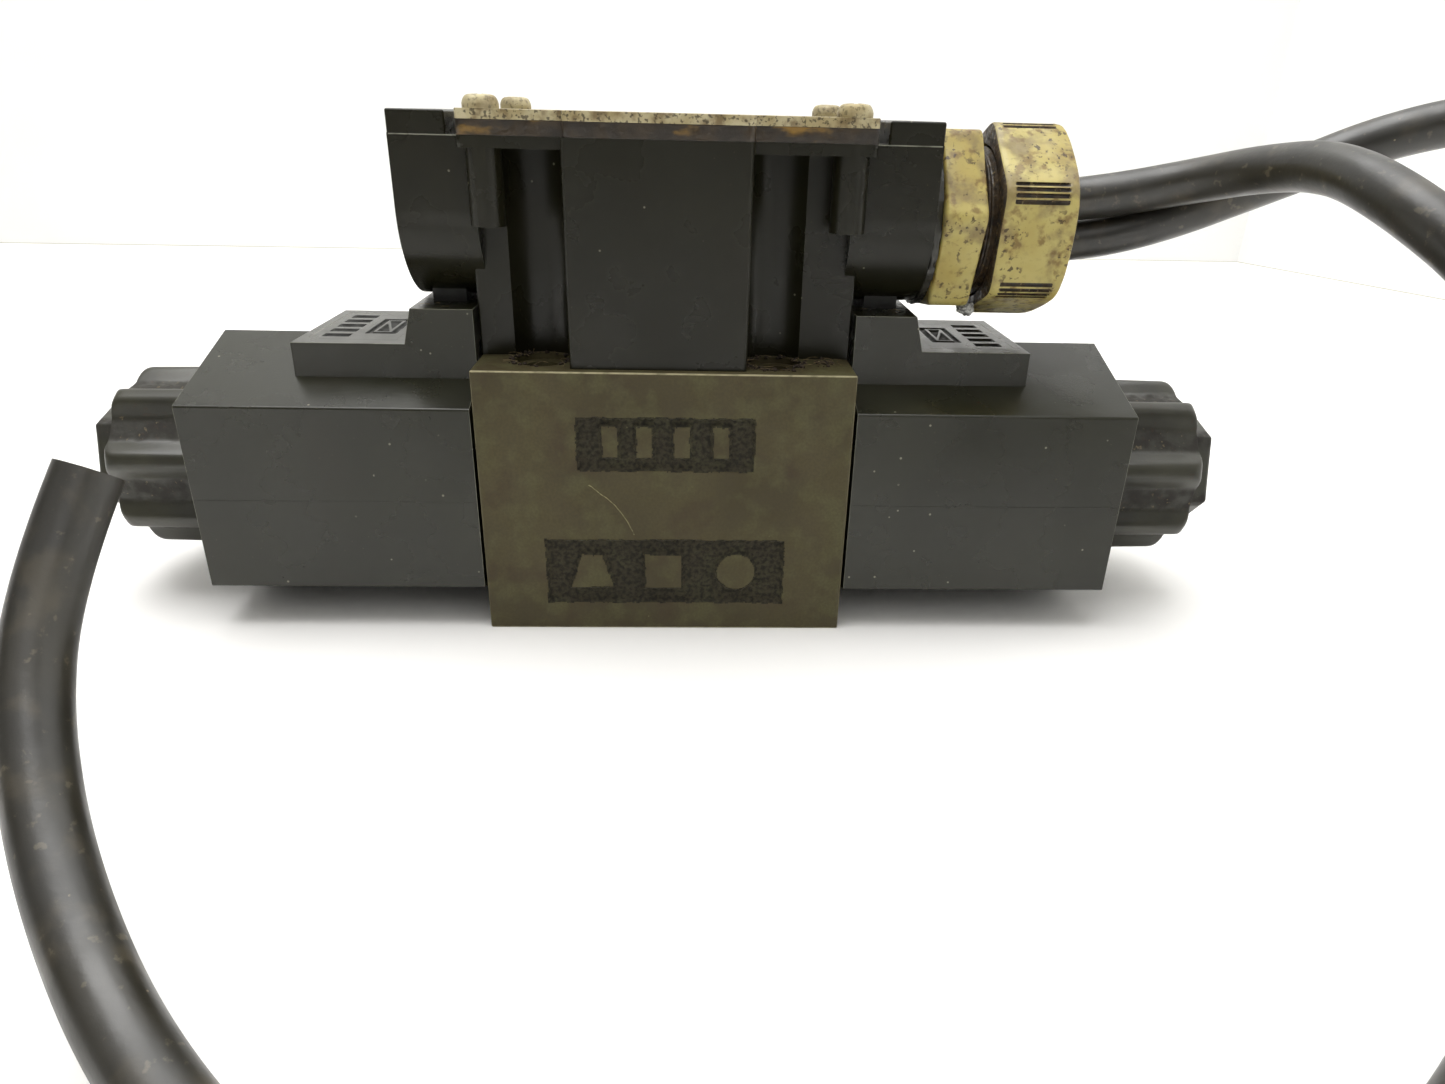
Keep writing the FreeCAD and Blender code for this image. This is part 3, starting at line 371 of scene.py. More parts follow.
def ivory(name):
    """Yellowed nylon freckled with dark brown, with soft grey-brown stains."""
    s = Shader(name, Specular_IOR_Level=0.45, Subsurface_Weight=0.05, Subsurface_Scale=0.002)
    colour = s.blend(s.blobs(0.009, 3, 0.3, 0.7), srgb(184, 171, 104), srgb(166, 148, 78))
    stain = s.blobs(0.0050, 5, 0.46, 0.64, 0.0, 0.7)
    colour = s.blend(stain, colour, srgb(112, 96, 66))
    rusty = s.blobs(0.0026, 6, 0.53, 0.66, 0.0, 0.7)
    colour = s.blend(rusty, colour, srgb(104, 76, 36))
    freckles = s.blobs(0.0009, 5, 0.56, 0.63, 0.0, 0.85)
    where = s.blobs(0.0058, 4, 0.42, 0.56, 0.1, 1.0)
    colour = s.blend(s.product(freckles, where), colour, srgb(58, 40, 26))
    s.bumps(s.grain(0.0009, 5), 0.00004)
    s.bumps(s.grain(0.005, 3), 0.0001)
    return s.done(colour, s.blobs(0.003, 5, 0.35, 0.65, 0.36, 0.6))


def grime(name):
    """Old oil and dust caked in grooves and threads, with a few paler crumbs."""
    s = Shader(name, Specular_IOR_Level=0.5)
    colour = s.blend(s.blobs(0.0018, 5, 0.35, 0.65), srgb(34, 27, 19), srgb(66, 52, 32))
    pale = s.blobs(0.0007, 4, 0.60, 0.70, 0.0, 0.7)
    colour = s.blend(pale, colour, srgb(132, 114, 74))
    s.bumps(s.grain(0.0007, 5), 0.0002)
    return s.done(colour, s.blobs(0.0012, 4, 0.3, 0.7, 0.3, 0.75))


def zinc(name, stain=0.75):
    """Yellow zinc plate gone dull, freckled with brown and black."""
    s = Shader(name, metallic=0.25, Specular_IOR_Level=0.45)
    colour = s.blend(s.blobs(0.005, 4, 0.35, 0.65), srgb(190, 180, 146), srgb(160, 146, 106))
    brown = s.blobs(0.0026, 6, 0.46, 0.66, 0.0, stain)
    colour = s.blend(brown, colour, srgb(98, 78, 46))
    freckles = s.blobs(0.0006, 5, 0.54, 0.62, 0.0, stain)
    colour = s.blend(freckles, colour, srgb(44, 35, 24))
    s.bumps(s.grain(0.0006, 5), 0.00006)
    return s.done(colour, s.blobs(0.002, 5, 0.3, 0.7, 0.36, 0.7))


def packing(name):
    """Packing soaked brown with old oil, amber where the light gets into it."""
    s = Shader(name, Specular_IOR_Level=0.5, Coat_Weight=0.2, Coat_Roughness=0.25)
    colour = s.blend(s.blobs(0.003, 5, 0.35, 0.65), srgb(50, 38, 20), srgb(34, 27, 17))
    bright = s.span(s.grain(0.0042, 4, stretch=(0.45, 1, 1)), 0.58, 0.70, 0.0, 0.75)
    colour = s.blend(bright, colour, srgb(142, 108, 40))
    s.bumps(s.grain(0.0013, 5), 0.0002)
    return s.done(colour, s.blobs(0.002, 4, 0.3, 0.7, 0.28, 0.6))


def jacket(name):
    """Black cable jacket: a soft gloss under fine tan dust and pale scuffs."""
    s = Shader(name, Specular_IOR_Level=0.75)
    colour = s.blend(s.blobs(0.012, 4, 0.35, 0.68), srgb(30, 28, 22), srgb(42, 39, 31))
    film = s.blobs(0.0052, 6, 0.50, 0.70, 0.0, 0.35)
    colour = s.blend(film, colour, srgb(84, 76, 60))
    scuffs = s.blobs(0.0016, 6, 0.62, 0.70, 0.0, 0.35)
    colour = s.blend(scuffs, colour, srgb(112, 104, 84))
    specks = s.span(s.cells(0.0026), 0.075, 0.04, 0.0, 0.75)
    few = s.blobs(0.0055, 2, 0.55, 0.61)
    colour = s.blend(s.product(specks, few), colour, srgb(160, 146, 112))
    s.bumps(s.grain(0.0006, 4), 0.00002)
    s.bumps(s.grain(0.009, 3), 0.00016)
    return s.done(colour, s.blobs(0.007, 6, 0.3, 0.7, 0.32, 0.47))


def rubber(name, tone=(26, 26, 24), roughness=0.5):
    """Dark rubber with small dents, also the near-black painted shade of deep recesses."""
    s = Shader(name)
    colour = s.blend(s.blobs(0.003, 5, 0.35, 0.65), srgb(*tone), toned(tone, 1.5))
    s.bumps(s.grain(0.0009, 4), 0.00006)
    return s.done(colour, s.blobs(0.002, 4, 0.3, 0.7, roughness - 0.12, roughness + 0.15))


def metal(name, tone, roughness=0.3):
    """Turned or drawn bare metal with fine lines round its axis."""
    s = Shader(name, metallic=1.0)
    colour = s.blend(s.blobs(0.004, 4, 0.3, 0.7), srgb(*tone), toned(tone, 0.82))
    lines = s.grain(0.0006, 3, stretch=(1, 0.08, 0.08))
    s.bumps(lines, 0.00001)
    return s.done(colour, s.span(lines, 0.3, 0.7, roughness * 0.8, roughness * 1.3))


def lint(name, tone):
    """A dull colour with fine darker mottling, for small loose things."""
    s = Shader(name, roughness=0.9)
    mottle = s.blobs(0.0006, 3, 0.3, 0.7)
    return s.done(s.blend(mottle, srgb(*tone), toned(tone, 0.55)))


COIL_TONE, NUT_TONE, BOX_TONE = (30, 30, 18), (46, 45, 34), (26, 25, 15)
IRON = iron("phosphated_iron")
IRON_MARK = iron("cast_iron_mark", worn=False)
IRON_CAST = iron("cast_iron_skin", cast=True)
COIL = moulding("coil_resin", COIL_TONE)
# Copy of the coil resin with a pale painted highlight, for its rounded edges.
COIL_HIGHLIGHT_EDGE = moulding("coil_resin_painted_highlight", COIL_TONE, edge=True)
NUT = grimy_nut("nut_resin", NUT_TONE)
BOX = moulding("box_resin", BOX_TONE, dust=0.4, gloss=0.3)
# Copy of the box resin with a pale painted highlight, for its rounded edges and seams.
BOX_HIGHLIGHT_EDGE = moulding("box_resin_painted_highlight", BOX_TONE, edge=True, gloss=0.3)
# Near-black painted shade for the sunk letters and sign on the coil plates.
SHADED_RECESS = rubber("painted_shade_recess", (17, 17, 13), 0.7)
IVORY = ivory("ivory_nylon")
GRIME = grime("caked_grime")
ZINC = zinc("zinc_plate")
ZINC_CLEAN = zinc("zinc_screw", stain=0.45)
PACKING = packing("amber_packing")
JACKET = jacket("cable_jacket")
RUBBER = rubber("seal_rubber")
TARRY = rubber("tarry_washer", (38, 37, 32), 0.36)
STEEL = metal("bright_steel", (176, 176, 172))
COPPER = metal("copper_wire", (196, 118, 74))
BRASS = metal("plated_brass", (198, 168, 96))
LINT = lint("pale_lint", (140, 122, 88))
CRUMBS = lint("brown_crumbs", (52, 40, 28))
SCRATCH = lint("bare_scratch", (150, 144, 100))
FILLER = rubber("cable_filler", (20, 19, 16), 0.6)
SEALANT = lint("white_sealant", (214, 214, 208))

SLOT_MATERIALS = {
    "body_iron": IRON,
    "coil_resin": COIL,
    "nut_resin": NUT,
    "box_resin": BOX,
    "seal_rubber": RUBBER,
    "bright_steel": STEEL,
    "copper": COPPER,
    "brass": BRASS,
    "lid_packing": PACKING,
    "zinc_steel": ZINC,
    "ivory_nylon": IVORY,
    "cable_jacket": JACKET,
}


def dress_frame():
    """Every carried-over CAD node takes the material of its slot."""
    for entry in frame["record"]["subparts"]:
        data = NODES[entry["node"]].data
        data.materials.clear()
        data.materials.append(SLOT_MATERIALS[entry["material_slot"]])


# ---- making pieces
def settle(name, data, slot, *replaced, materials=(), body="valve"):
    """Puts a finished mesh or curve into the scene as a piece on a CAD body."""
    piece = bpy.data.objects.new(name, data)
    bpy.context.scene.collection.objects.link(piece)
    for material in materials:
        data.materials.append(material)
    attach(piece, body)
    if replaced:
        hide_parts(*replaced)
    return piece


def to_mesh(name, bm, crease=34.0):
    """Turns a bmesh into a smooth mesh whose edges stay sharp above the crease angle."""
    bmesh.ops.recalc_face_normals(bm, faces=bm.faces)
    for face in bm.faces:
        face.smooth = True
    for edge in bm.edges:
        edge.smooth = len(edge.link_faces) != 2 or edge.calc_face_angle(0.0) < math.radians(crease)
    data = bpy.data.meshes.new(name)
    bm.to_mesh(data)
    bm.free()
    return data


def even_shading(piece):
    modifier = piece.modifiers.new("even_shading", "WEIGHTED_NORMAL")
    modifier.keep_sharp = True
    modifier.weight = 80


def softened(node, name, width, slot, materials, wanted=lambda edge: True):
    """A CAD node with whole flat faces and its sharp outer edges rounded, in the second material."""
    bm = bmesh.new()
    bm.from_mesh(NODES[node].data)
    bmesh.ops.remove_doubles(bm, verts=bm.verts, dist=2e-6)
    bmesh.ops.dissolve_limit(bm, angle_limit=math.radians(0.8), verts=bm.verts, edges=bm.edges)
    for face in bm.faces:
        face.material_index = 0
    sharp = [
        edge
        for edge in bm.edges
        if edge.is_manifold and edge.calc_face_angle_signed(0.0) > math.radians(32) and wanted(edge)
    ]
    bmesh.ops.bevel(
        bm,
        geom=sharp,
        offset=width,
        offset_type="OFFSET",
        segments=2,
        profile=0.5,
        affect="EDGES",
        clamp_overlap=True,
        material=1,
    )
    piece = settle(name, to_mesh(name, bm), slot, node, materials=materials)
    even_shading(piece)
    return piece


def bridge(bm, first, second):
    """Joins two closed rings of as many points with a band of faces."""
    count = len(first)
    for index in range(count):
        after = (index + 1) % count
        bm.faces.new((first[index], first[after], second[after], second[index]))


def spun(profile, samples, height=0.0, closed=False):
    """A skin round the X axis at a height.

    Each ring is (x, radius), or (x, function of the angle from -Y upward).
    """
    bm = bmesh.new()
    rings = []
    for x, radius in profile:
        ring = []
        for index in range(samples):
            angle = 2 * math.pi * index / samples
            reach = radius(angle) if callable(radius) else radius
            ring.append(bm.verts.new((x, -reach * math.cos(angle), height + reach * math.sin(angle))))
        rings.append(ring)
    pairs = list(zip(rings, rings[1:]))
    if closed:
        pairs.append((rings[-1], rings[0]))
    for first, second in pairs:
        bridge(bm, first, second)
    if not closed:
        bm.faces.new(list(reversed(rings[0])))
        bm.faces.new(rings[-1])
    return bm


def star(corners, samples, soften):
    """The radius at any angle of the closed polygon through (degrees, radius) corners, softened."""
    corners = sorted((math.radians(angle) % (2 * math.pi), radius) for angle, radius in corners)
    looped = [(corners[-1][0] - 2 * math.pi, corners[-1][1])] + corners
    looped.append((corners[0][0] + 2 * math.pi, corners[0][1]))
    values = []
    for index in range(samples):
        angle = 2 * math.pi * index / samples
        for (a1, r1), (a2, r2) in zip(looped, looped[1:]):
            if a1 <= angle <= a2:
                spread = r1 * math.sin(angle - a1) + r2 * math.sin(a2 - angle)
                values.append(r1 * r2 * math.sin(a2 - a1) / spread)
                break
    for _ in range(soften):
        values = [(values[i - 1] + 2 * values[i] + values[(i + 1) % samples]) / 4 for i in range(samples)]
    return lambda turn: values[round(turn / (2 * math.pi) * samples) % samples]


def hexagon_radius(flat, turn, samples, soften):
    """A hexagon's radius at any angle: flat is half the size across flats, turn its corner's angle."""
    corners = [(turn + 60 * number, flat / math.cos(math.pi / 6)) for number in range(6)]
    return star(corners, samples, soften)


def shrunk(radius, drop):
    return lambda turn: radius(turn) - drop


def mixed(first, second, share):
    return lambda turn: first(turn) * (1 - share) + second(turn) * share


def capped(radius, limit):
    """The smaller of a section's radius and a limit, eased where they meet."""
    ease = 0.8 * MM

    def reach(turn):
        first = radius(turn)
        gap = (first - limit) / ease
        if gap > 3:
            return limit
        return limit - ease * math.log1p(math.exp(-gap * 2)) / 2 if gap > -3 else first

    return reach


def tube(name, points, radius):
    """A thin round bead along points."""
    data = new_curve(name, 2)
    data.use_fill_caps = True
    add_spline(data, "POLY", points, radius)
    return data


def smooth(value, low, high):
    share = min(max((value - low) / (high - low), 0.0), 1.0)
    return share * share * (3 - 2 * share)


def roughness_at(place, size, octaves=4):
    """Fractal noise from about -1 to 1 at a place, with blobs size metres across."""
    return noise.fractal(place / size, 0.9, 2.0, octaves)


# ---- reliefs: cast marks and moulded marks
def bar_gap(u, v, centre, half):
    """Distance outside an upright bar, negative inside it."""
    return max(abs(u - centre[0]) - half[0], abs(v - centre[1]) - half[1])


def relief(name, origin, across, up, size, cell, depth, marks, grit, slope, materials, slot):
    """A recess floor with raised marks, as a closed slab. Depth is the slab's, from the outer face in.

    marks(u, v) is the distance outside the nearest mark; grit is how coarse the floor's grain is.
    """
    inward = up.cross(across)
    columns, rows = round(size[0] / cell), round(size[1] / cell)
    bm = bmesh.new()
    grid = []
    for row in range(rows + 1):
        line = []
        for column in range(columns + 1):
            u, v = size[0] * column / columns, size[1] * row / rows
            place = origin + across * u + up * v
            ragged = roughness_at(place, 1.3 * MM) * grit
            rim = min(u, size[0] - u, v, size[1] - v) + ragged * 0.6
            floor = smooth(rim, 0.0, slope)
            mark = 1 - smooth(marks(u, v) + ragged * 0.4, -0.3 * slope, 0.7 * slope)
            sunk = depth * floor * (1 - mark)
            fine = roughness_at(place, 0.55 * MM, 5) * grit * 0.35 * floor * (1 - 0.8 * mark)
            edge = 0.03 * MM if row in (0, rows) or column in (0, columns) else 0.0
            sunk = min(max(sunk + fine, 0.012 * MM), depth - 0.05 * MM)
            line.append(bm.verts.new(place + inward * (edge or sunk)))
        grid.append(line)
    for row in range(rows):
        for column in range(columns):
            near, far = grid[row], grid[row + 1]
            bm.faces.new((near[column], near[column + 1], far[column + 1], far[column]))
    rim_loop = grid[0] + [line[-1] for line in grid[1:]]
    rim_loop += grid[-1][-2::-1] + [line[0] for line in grid[-2:0:-1]]
    lower = [bm.verts.new(vert.co + inward * (depth - 0.03 * MM)) for vert in rim_loop]
    count = len(rim_loop)
    for index in range(count):
        after = (index + 1) % count
        bm.faces.new((rim_loop[index], lower[index], lower[after], rim_loop[after]))
    bm.faces.new(lower)
    bmesh.ops.recalc_face_normals(bm, faces=bm.faces)
    for face in bm.faces:
        lifted = (face.calc_center_median() - origin).dot(inward)
        # Sunk faces take the second material; on the coil plates that is painted shade.
        face.material_index = 0 if lifted < 0.12 * depth and abs(face.normal.dot(inward)) > 0.9 else 1
    return settle(name, to_mesh(name, bm, 60), slot, materials=materials)


def body_marks():
    """The two cast recesses in the body's front face: four plain bars above, three signs below."""
    low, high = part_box("valve_body")
    front = low.y
    across, up = Vector((1, 0, 0)), Vector((0, 0, 1))

    def upper(u, v):
        centres = (6.0, 11.9, 18.4, 25.2)
        return min(bar_gap(u, v, (x * MM, 5.4 * MM), (1.5 * MM, 2.9 * MM)) for x in centres)

    def lower(u, v):
        x, z = u / MM - 8.4, v / MM - 6.6
        wedge = max(abs(z) - 3.4, abs(x) - 4.0 + 0.3 * (z + 3.4))
        x = u / MM - 21.3
        square = max(abs(x) - 3.4, abs(z) - 3.4)
        disc = math.hypot(u / MM - 34.6, z) - 3.6
        return min(wedge, square, disc) * MM

    for name, corner, size, marks in (
        ("upper_cast_mark", (-15.5, 31.1), (31.2, 10.0), upper),
        ("lower_cast_mark", (-21.7, 5.2), (43.5, 13.1), lower),
    ):
        origin = Vector((corner[0] * MM, front, corner[1] * MM))
        relief(
            name,
            origin,
            across,
            up,
            size=(size[0] * MM, size[1] * MM),
            cell=0.22 * MM,
            depth=0.8 * MM,
            marks=marks,
            grit=0.5 * MM,
            slope=0.9 * MM,
            materials=(IRON_MARK, IRON_CAST),
            slot="body_iron",
        )


def body_scratch():
    """A curved bare scratch that runs down the front face from the upper cast mark to the lower one."""
    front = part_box("valve_body")[0].y
    steps = 24
    bead = 0.09 * MM
    start, bulge, end = (-13.4, 28.6), (-7.4, 24.6), (-5.6, 19.1)
    points = []
    for step in range(steps + 1):
        share = step / steps
        near, mid, far = (1 - share) ** 2, 2 * share * (1 - share), share**2
        x, z = (near * first + mid * second + far * last for first, second, last in zip(start, bulge, end))
        wander = roughness_at(Vector((x, 0, z)), 2.0) * 0.12
        points.append(((x + wander) * MM, front + 0.6 * bead, (z + wander) * MM))
    data = tube("body_scratch", points, bead)
    settle("body_scratch", data, "body_iron", materials=(SCRATCH,))


PLATE_TOP = 50.8 * MM
PLATE_SIZE = (23.0 * MM, 15.5 * MM)
PLATE_START = {"left": -47.5 * MM, "right": 63.0 * MM}
SIGN_CENTRE = (11.5 * MM, 11.2 * MM)


def coil_label(side_name, side):
    """Marks cut into each coil's plate: a row of five blocks and the sign for a solenoid, their sunk faces
    in near-black painted shade.
    """
    across, up = Vector((0, 1, 0)), Vector((-1, 0, 0))
    origin = Vector((PLATE_START[side_name], -PLATE_SIZE[0] / 2, PLATE_TOP))

    def marks(u, v):
        near = v if side > 0 else PLATE_SIZE[1] - v
        blocks = [(x * MM, 4.2 * MM) for x in (3.4, 7.5, 11.6, 15.7, 19.8)]
        word = min(bar_gap(u, near, centre, (1.2 * MM, 2.3 * MM)) for centre in blocks)
        recess = bar_gap(u, near, SIGN_CENTRE, (6.4 * MM, 2.7 * MM))
        sign_out = bar_gap(u, near, SIGN_CENTRE, (5.2 * MM, 1.7 * MM))
        sign_in = bar_gap(u, near, SIGN_CENTRE, (4.5 * MM, 1.0 * MM))
        slash = abs((u - SIGN_CENTRE[0]) * 0.3 + (near - SIGN_CENTRE[1]) * 0.95) - 0.3 * MM
        sign = min(max(sign_out, -sign_in), max(slash, sign_out))
        return min(-min(word, recess), sign)

    relief(
        f"coil_panel_{side_name}",
        origin,
        across,
        up,
        size=PLATE_SIZE,
        cell=0.16 * MM,
        depth=0.4 * MM,
        marks=marks,
        grit=0.08 * MM,
        slope=0.25 * MM,
        # Sunk faces take the painted shade; the plate itself keeps the coil resin.
        materials=(COIL, SHADED_RECESS),
        slot="coil_resin",
    )


# ---- coils, nuts and terminal box
COIL_SEAM = 24.9 * MM
COIL_ROOM, COIL_STEP = 15.0 * MM, 46.0 * MM


def make_coils():
    """Each coil's shell with its edges rounded, its label, and the mould's seam along both sides."""
    for side_name, side in SIDES.items():
        node = f"coil_{side_name}"
        name = f"coil_shell_{side_name}"
        # The rounded edges take the painted highlight copy of the resin.
        softened(node, name, 0.3 * MM, "coil_resin", (COIL, COIL_HIGHLIGHT_EDGE), outside(node))
        coil_label(side_name, side)
        low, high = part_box(node)
        for face_name, y in (("front", low.y), ("back", high.y)):
            points = [(x, y, COIL_SEAM) for x in (low.x + 0.4 * MM, high.x - 0.4 * MM)]
            data = tube(f"coil_seam_{side_name}_{face_name}", points, 0.06 * MM)
            settle(data.name, data, "coil_resin", materials=(COIL,))


def outside(node):
    """Picks a coil's edges that lie further from its middle line than its rooms, or on its step."""
    low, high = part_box(node)
    middle = (low.z + high.z) / 2

    def wanted(edge):
        place = (edge.verts[0].co + edge.verts[1].co) / 2
        return math.hypot(place.y, place.z - middle) > COIL_ROOM or place.z > COIL_STEP

    return wanted


LOBES, LOBE_TURN, CREST_HALF, ROOT_HALF = 8, 15.0, 4.0, 8.0
NUT_CREST, NUT_ROOT, NUT_ROUNDING = 17.2 * MM, 14.3 * MM, 2.2 * MM
NUT_HEXAGON, NUT_COLLAR, NUT_THREAD, NUT_HOLE = 10.9 * MM, 13.2 * MM, 9.0 * MM, 3.6 * MM
NUT_SAMPLES = 480


def make_nuts():
    """Hand nuts: eight lobes whose outer corners are rounded over, and a spanner hexagon on the end."""
    corners = []
    for number in range(LOBES):
        middle = LOBE_TURN + 45.0 * number
        corners += [(middle + turn, NUT_CREST) for turn in (-CREST_HALF, CREST_HALF)]
        corners += [(middle + 22.5 + turn, NUT_ROOT) for turn in (-ROOT_HALF, ROOT_HALF)]
    lobes = star(corners, NUT_SAMPLES, 9)
    hexagon = hexagon_radius(NUT_HEXAGON, LOBE_TURN + 30, NUT_SAMPLES, 3)
    for side_name, side in SIDES.items():
        body = f"coil_nut_{side_name}"
        low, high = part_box(body)
        inner, outer = sorted((abs(low.x), abs(high.x)))
        shoulder, thread_end = inner + 18.5 * MM, inner + 14.8 * MM
        profile = [(inner + 2 * MM, NUT_COLLAR), (inner, NUT_COLLAR)]
        profile += [(inner, shrunk(lobes, 0.35 * MM)), (inner + 0.35 * MM, lobes)]
        for step in range(8):
            turn = math.pi / 2 * step / 7
            limit = NUT_CREST - NUT_ROUNDING * (1 - math.cos(turn))
            profile.append((shoulder - NUT_ROUNDING * (1 - math.sin(turn)), capped(lobes, limit)))
        profile.append((shoulder + 0.05 * MM, mixed(lobes, hexagon, 0.75)))
        profile.append((shoulder + 0.1 * MM, hexagon))
        for drop, back in ((0.0, 0.7), (0.12, 0.3), (0.35, 0.08), (0.7, 0.0)):
            profile.append((outer - back * MM, shrunk(hexagon, drop * MM)))
        profile += [(outer, NUT_HOLE + 0.4 * MM), (outer - 0.3 * MM, NUT_HOLE), (thread_end, NUT_HOLE)]
        profile += [(thread_end, NUT_THREAD), (inner + 2 * MM, NUT_THREAD)]
        bm = spun([(x * side, radius) for x, radius in profile], NUT_SAMPLES, AXIS_HEIGHT, closed=True)
        name = f"hand_nut_{side_name}"
        settle(name, to_mesh(name, bm, 40), "nut_resin", body, materials=(NUT,), body=body)


EAR_HALF, EAR_SEAM = 15.75 * MM, 84.35 * MM
EAR_ROOT = {"left": -32.0 * MM, "right": 33.0 * MM}


def make_box():
    """The terminal box with its edges rounded, and the mould's seam along both conduit ends."""
    # The rounded edges take the painted highlight copy of the box resin.
    softened("terminal_box", "terminal_case", 0.3 * MM, "box_resin", (BOX, BOX_HIGHLIGHT_EDGE))
    low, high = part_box("terminal_box")
    tips = {"left": low.x + 0.3 * MM, "right": high.x - 0.3 * MM}
    for name, root in EAR_ROOT.items():
        for face_name, side in (("front", -1), ("back", 1)):
            points = [(x, side * EAR_HALF, EAR_SEAM) for x in sorted((tips[name], root))]
            # The seam beads take the painted highlight copy as well.
            data = tube(f"case_seam_{name}_{face_name}", points, 0.09 * MM)
            settle(data.name, data, "box_resin", materials=(BOX_HIGHLIGHT_EDGE,))


# ---- lid, packing and screws
HEAD_RADIUS = 2.85 * MM
CROSS_HALF, CROSS_REACH, CROSS_DEPTH = 0.42 * MM, 1.55 * MM, 1.0 * MM
SHANK_LENGTH = 13.0 * MM


def make_lid():
    """The lid, the packing under it and its four screws."""
    softened("lid", "lid_plate", 0.25 * MM, "zinc_steel", (ZINC, ZINC))
    softened("lid_gasket", "packing_plate", 0.3 * MM, "lid_packing", (PACKING, PACKING))
    low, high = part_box("lid_screws")
    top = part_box("lid")[1].z
    bm = bmesh.new()
    for number, (x, y) in enumerate(screw_spots(low, high)):
        add_pan_head(bm, x, y, top, high.z, number * 37.0)
    data = to_mesh("lid_pan_heads", bm, 50)
    settle("lid_pan_heads", data, "zinc_steel", "lid_screws", materials=(ZINC_CLEAN,))


def screw_spots(low, high):
    """The four heads' middles, from the box round all of them."""
    columns = (low.x + HEAD_RADIUS, high.x - HEAD_RADIUS)
    rows = (low.y + HEAD_RADIUS, high.y - HEAD_RADIUS)
    return [(x, y) for x in columns for y in rows]


def cross_gap(across, along):
    """Distance outside a screw's cross, negative inside it."""
    across, along = abs(across), abs(along)
    upright = max(across - CROSS_HALF, along - CROSS_REACH)
    level = max(along - CROSS_HALF, across - CROSS_REACH)
    return min(upright, level)


def add_pan_head(bm, x, y, seat, crown, turn):
    """A pan head with rounded shoulders and a tapered cross recess, and the shank's end below it."""
    samples, rings = 96, 22
    height = crown - seat
    turn = math.radians(turn)
    layers = []
    for index in range(rings + 1):
        layer = []
        out = math.sin(index / rings * math.pi / 2)
        reach = HEAD_RADIUS * out
        dome = height * (1 - 0.12 * out**2 - 0.5456 * out**9)
        for sample in range(samples):
            angle = 2 * math.pi * sample / samples
            gap = cross_gap(reach * math.cos(angle - turn), reach * math.sin(angle - turn))
            recess = CROSS_DEPTH * smooth(-gap, -0.08 * MM, 0.28 * MM)
            spot = (x + reach * math.cos(angle), y + reach * math.sin(angle))
            layer.append(bm.verts.new((*spot, seat + dome - recess)))
        layers.append(layer)
    layers.append([bm.verts.new((v.co.x, v.co.y, seat)) for v in layers[-1]])
    shank = [bm.verts.new(((x + v.co.x) / 2, (y + v.co.y) / 2, seat)) for v in layers[-1]]
    layers.append(shank)
    layers.append([bm.verts.new((v.co.x, v.co.y, seat - SHANK_LENGTH)) for v in shank])
    for first, second in zip(layers[1:], layers[2:]):
        bridge(bm, first, second)
    for vert in layers[0][1:]:
        bm.verts.remove(vert)
    hub = layers[0][0]
    for sample in range(samples):
        bm.faces.new((hub, layers[1][sample], layers[1][(sample + 1) % samples]))
    bm.faces.new(list(reversed(layers[-1])))


def make_springs():
    """The centring springs, copied unchanged from the CAD frame, where the spool holds each one against its
    outer end.
    """
    for side_name, side in SIDES.items():
        node = f"centering_spring_{side_name}"
        name = f"coil_spring_{side_name}"
        piece = settle(name, NODES[node].data.copy(), "bright_steel", node)
        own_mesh(piece)


# ---- cable end
def make_cut_end():
    """The free cable's cut face: the jacket's rim round dark filler and three cut cores."""
    tip, before = Vector(FRONT_ROUTE[-1]), Vector(FRONT_ROUTE[-2])
    along = (tip - before).normalized()
    turn = along.to_track_quat("Z", "Y").to_matrix().to_4x4()
    face_place = Matrix.Translation(tip - along * 0.2 * MM) @ turn
    bm = bmesh.new()
    bmesh.ops.create_cone(
        bm,
        cap_ends=True,
        segments=64,
        radius1=0.36 * CABLE_DIAMETER,
        radius2=0.34 * CABLE_DIAMETER,
        depth=0.5 * MM,
        matrix=face_place,
    )
    for number in range(3):
        angle = 2 * math.pi * number / 3
        spot = Vector((math.cos(angle), math.sin(angle), 0)) * 0.17 * CABLE_DIAMETER
        known = set(bm.faces)
        bmesh.ops.create_cone(
            bm,
            cap_ends=True,
            segments=32,
            radius1=0.09 * CABLE_DIAMETER,
            radius2=0.09 * CABLE_DIAMETER,
            depth=0.6 * MM,
            matrix=face_place @ Matrix.Translation(spot),
        )
        for face in set(bm.faces) - known:
            face.material_index = 1
    data = to_mesh("cable_cut_end", bm)
    settle("cable_cut_end", data, "copper", materials=(FILLER, COPPER))


# ---- cable gland
GLAND_HEIGHT = 71.5 * MM
GLAND_BODY_FLAT, GLAND_NUT_FLAT = 14.6 * MM, 15.0 * MM
GLAND_BODY_TURN, GLAND_NUT_TURN = 8.0, 22.0
GLAND_HEX_START, GLAND_HEX_END = 46.45 * MM, 53.6 * MM
GLAND_BORE, GLAND_SHANK, THREAD_ROOT, THREAD_CREST = 9.9 * MM, 12.25 * MM, 12.0 * MM, 12.7 * MM
NUT_MOUTH, NUT_INSIDE = 9.5 * MM, 12.75 * MM
GLAND_SAMPLES = 720


def make_gland():
    make_gland_nut()
    make_gland_body()
    make_washer()
    make_sealant()


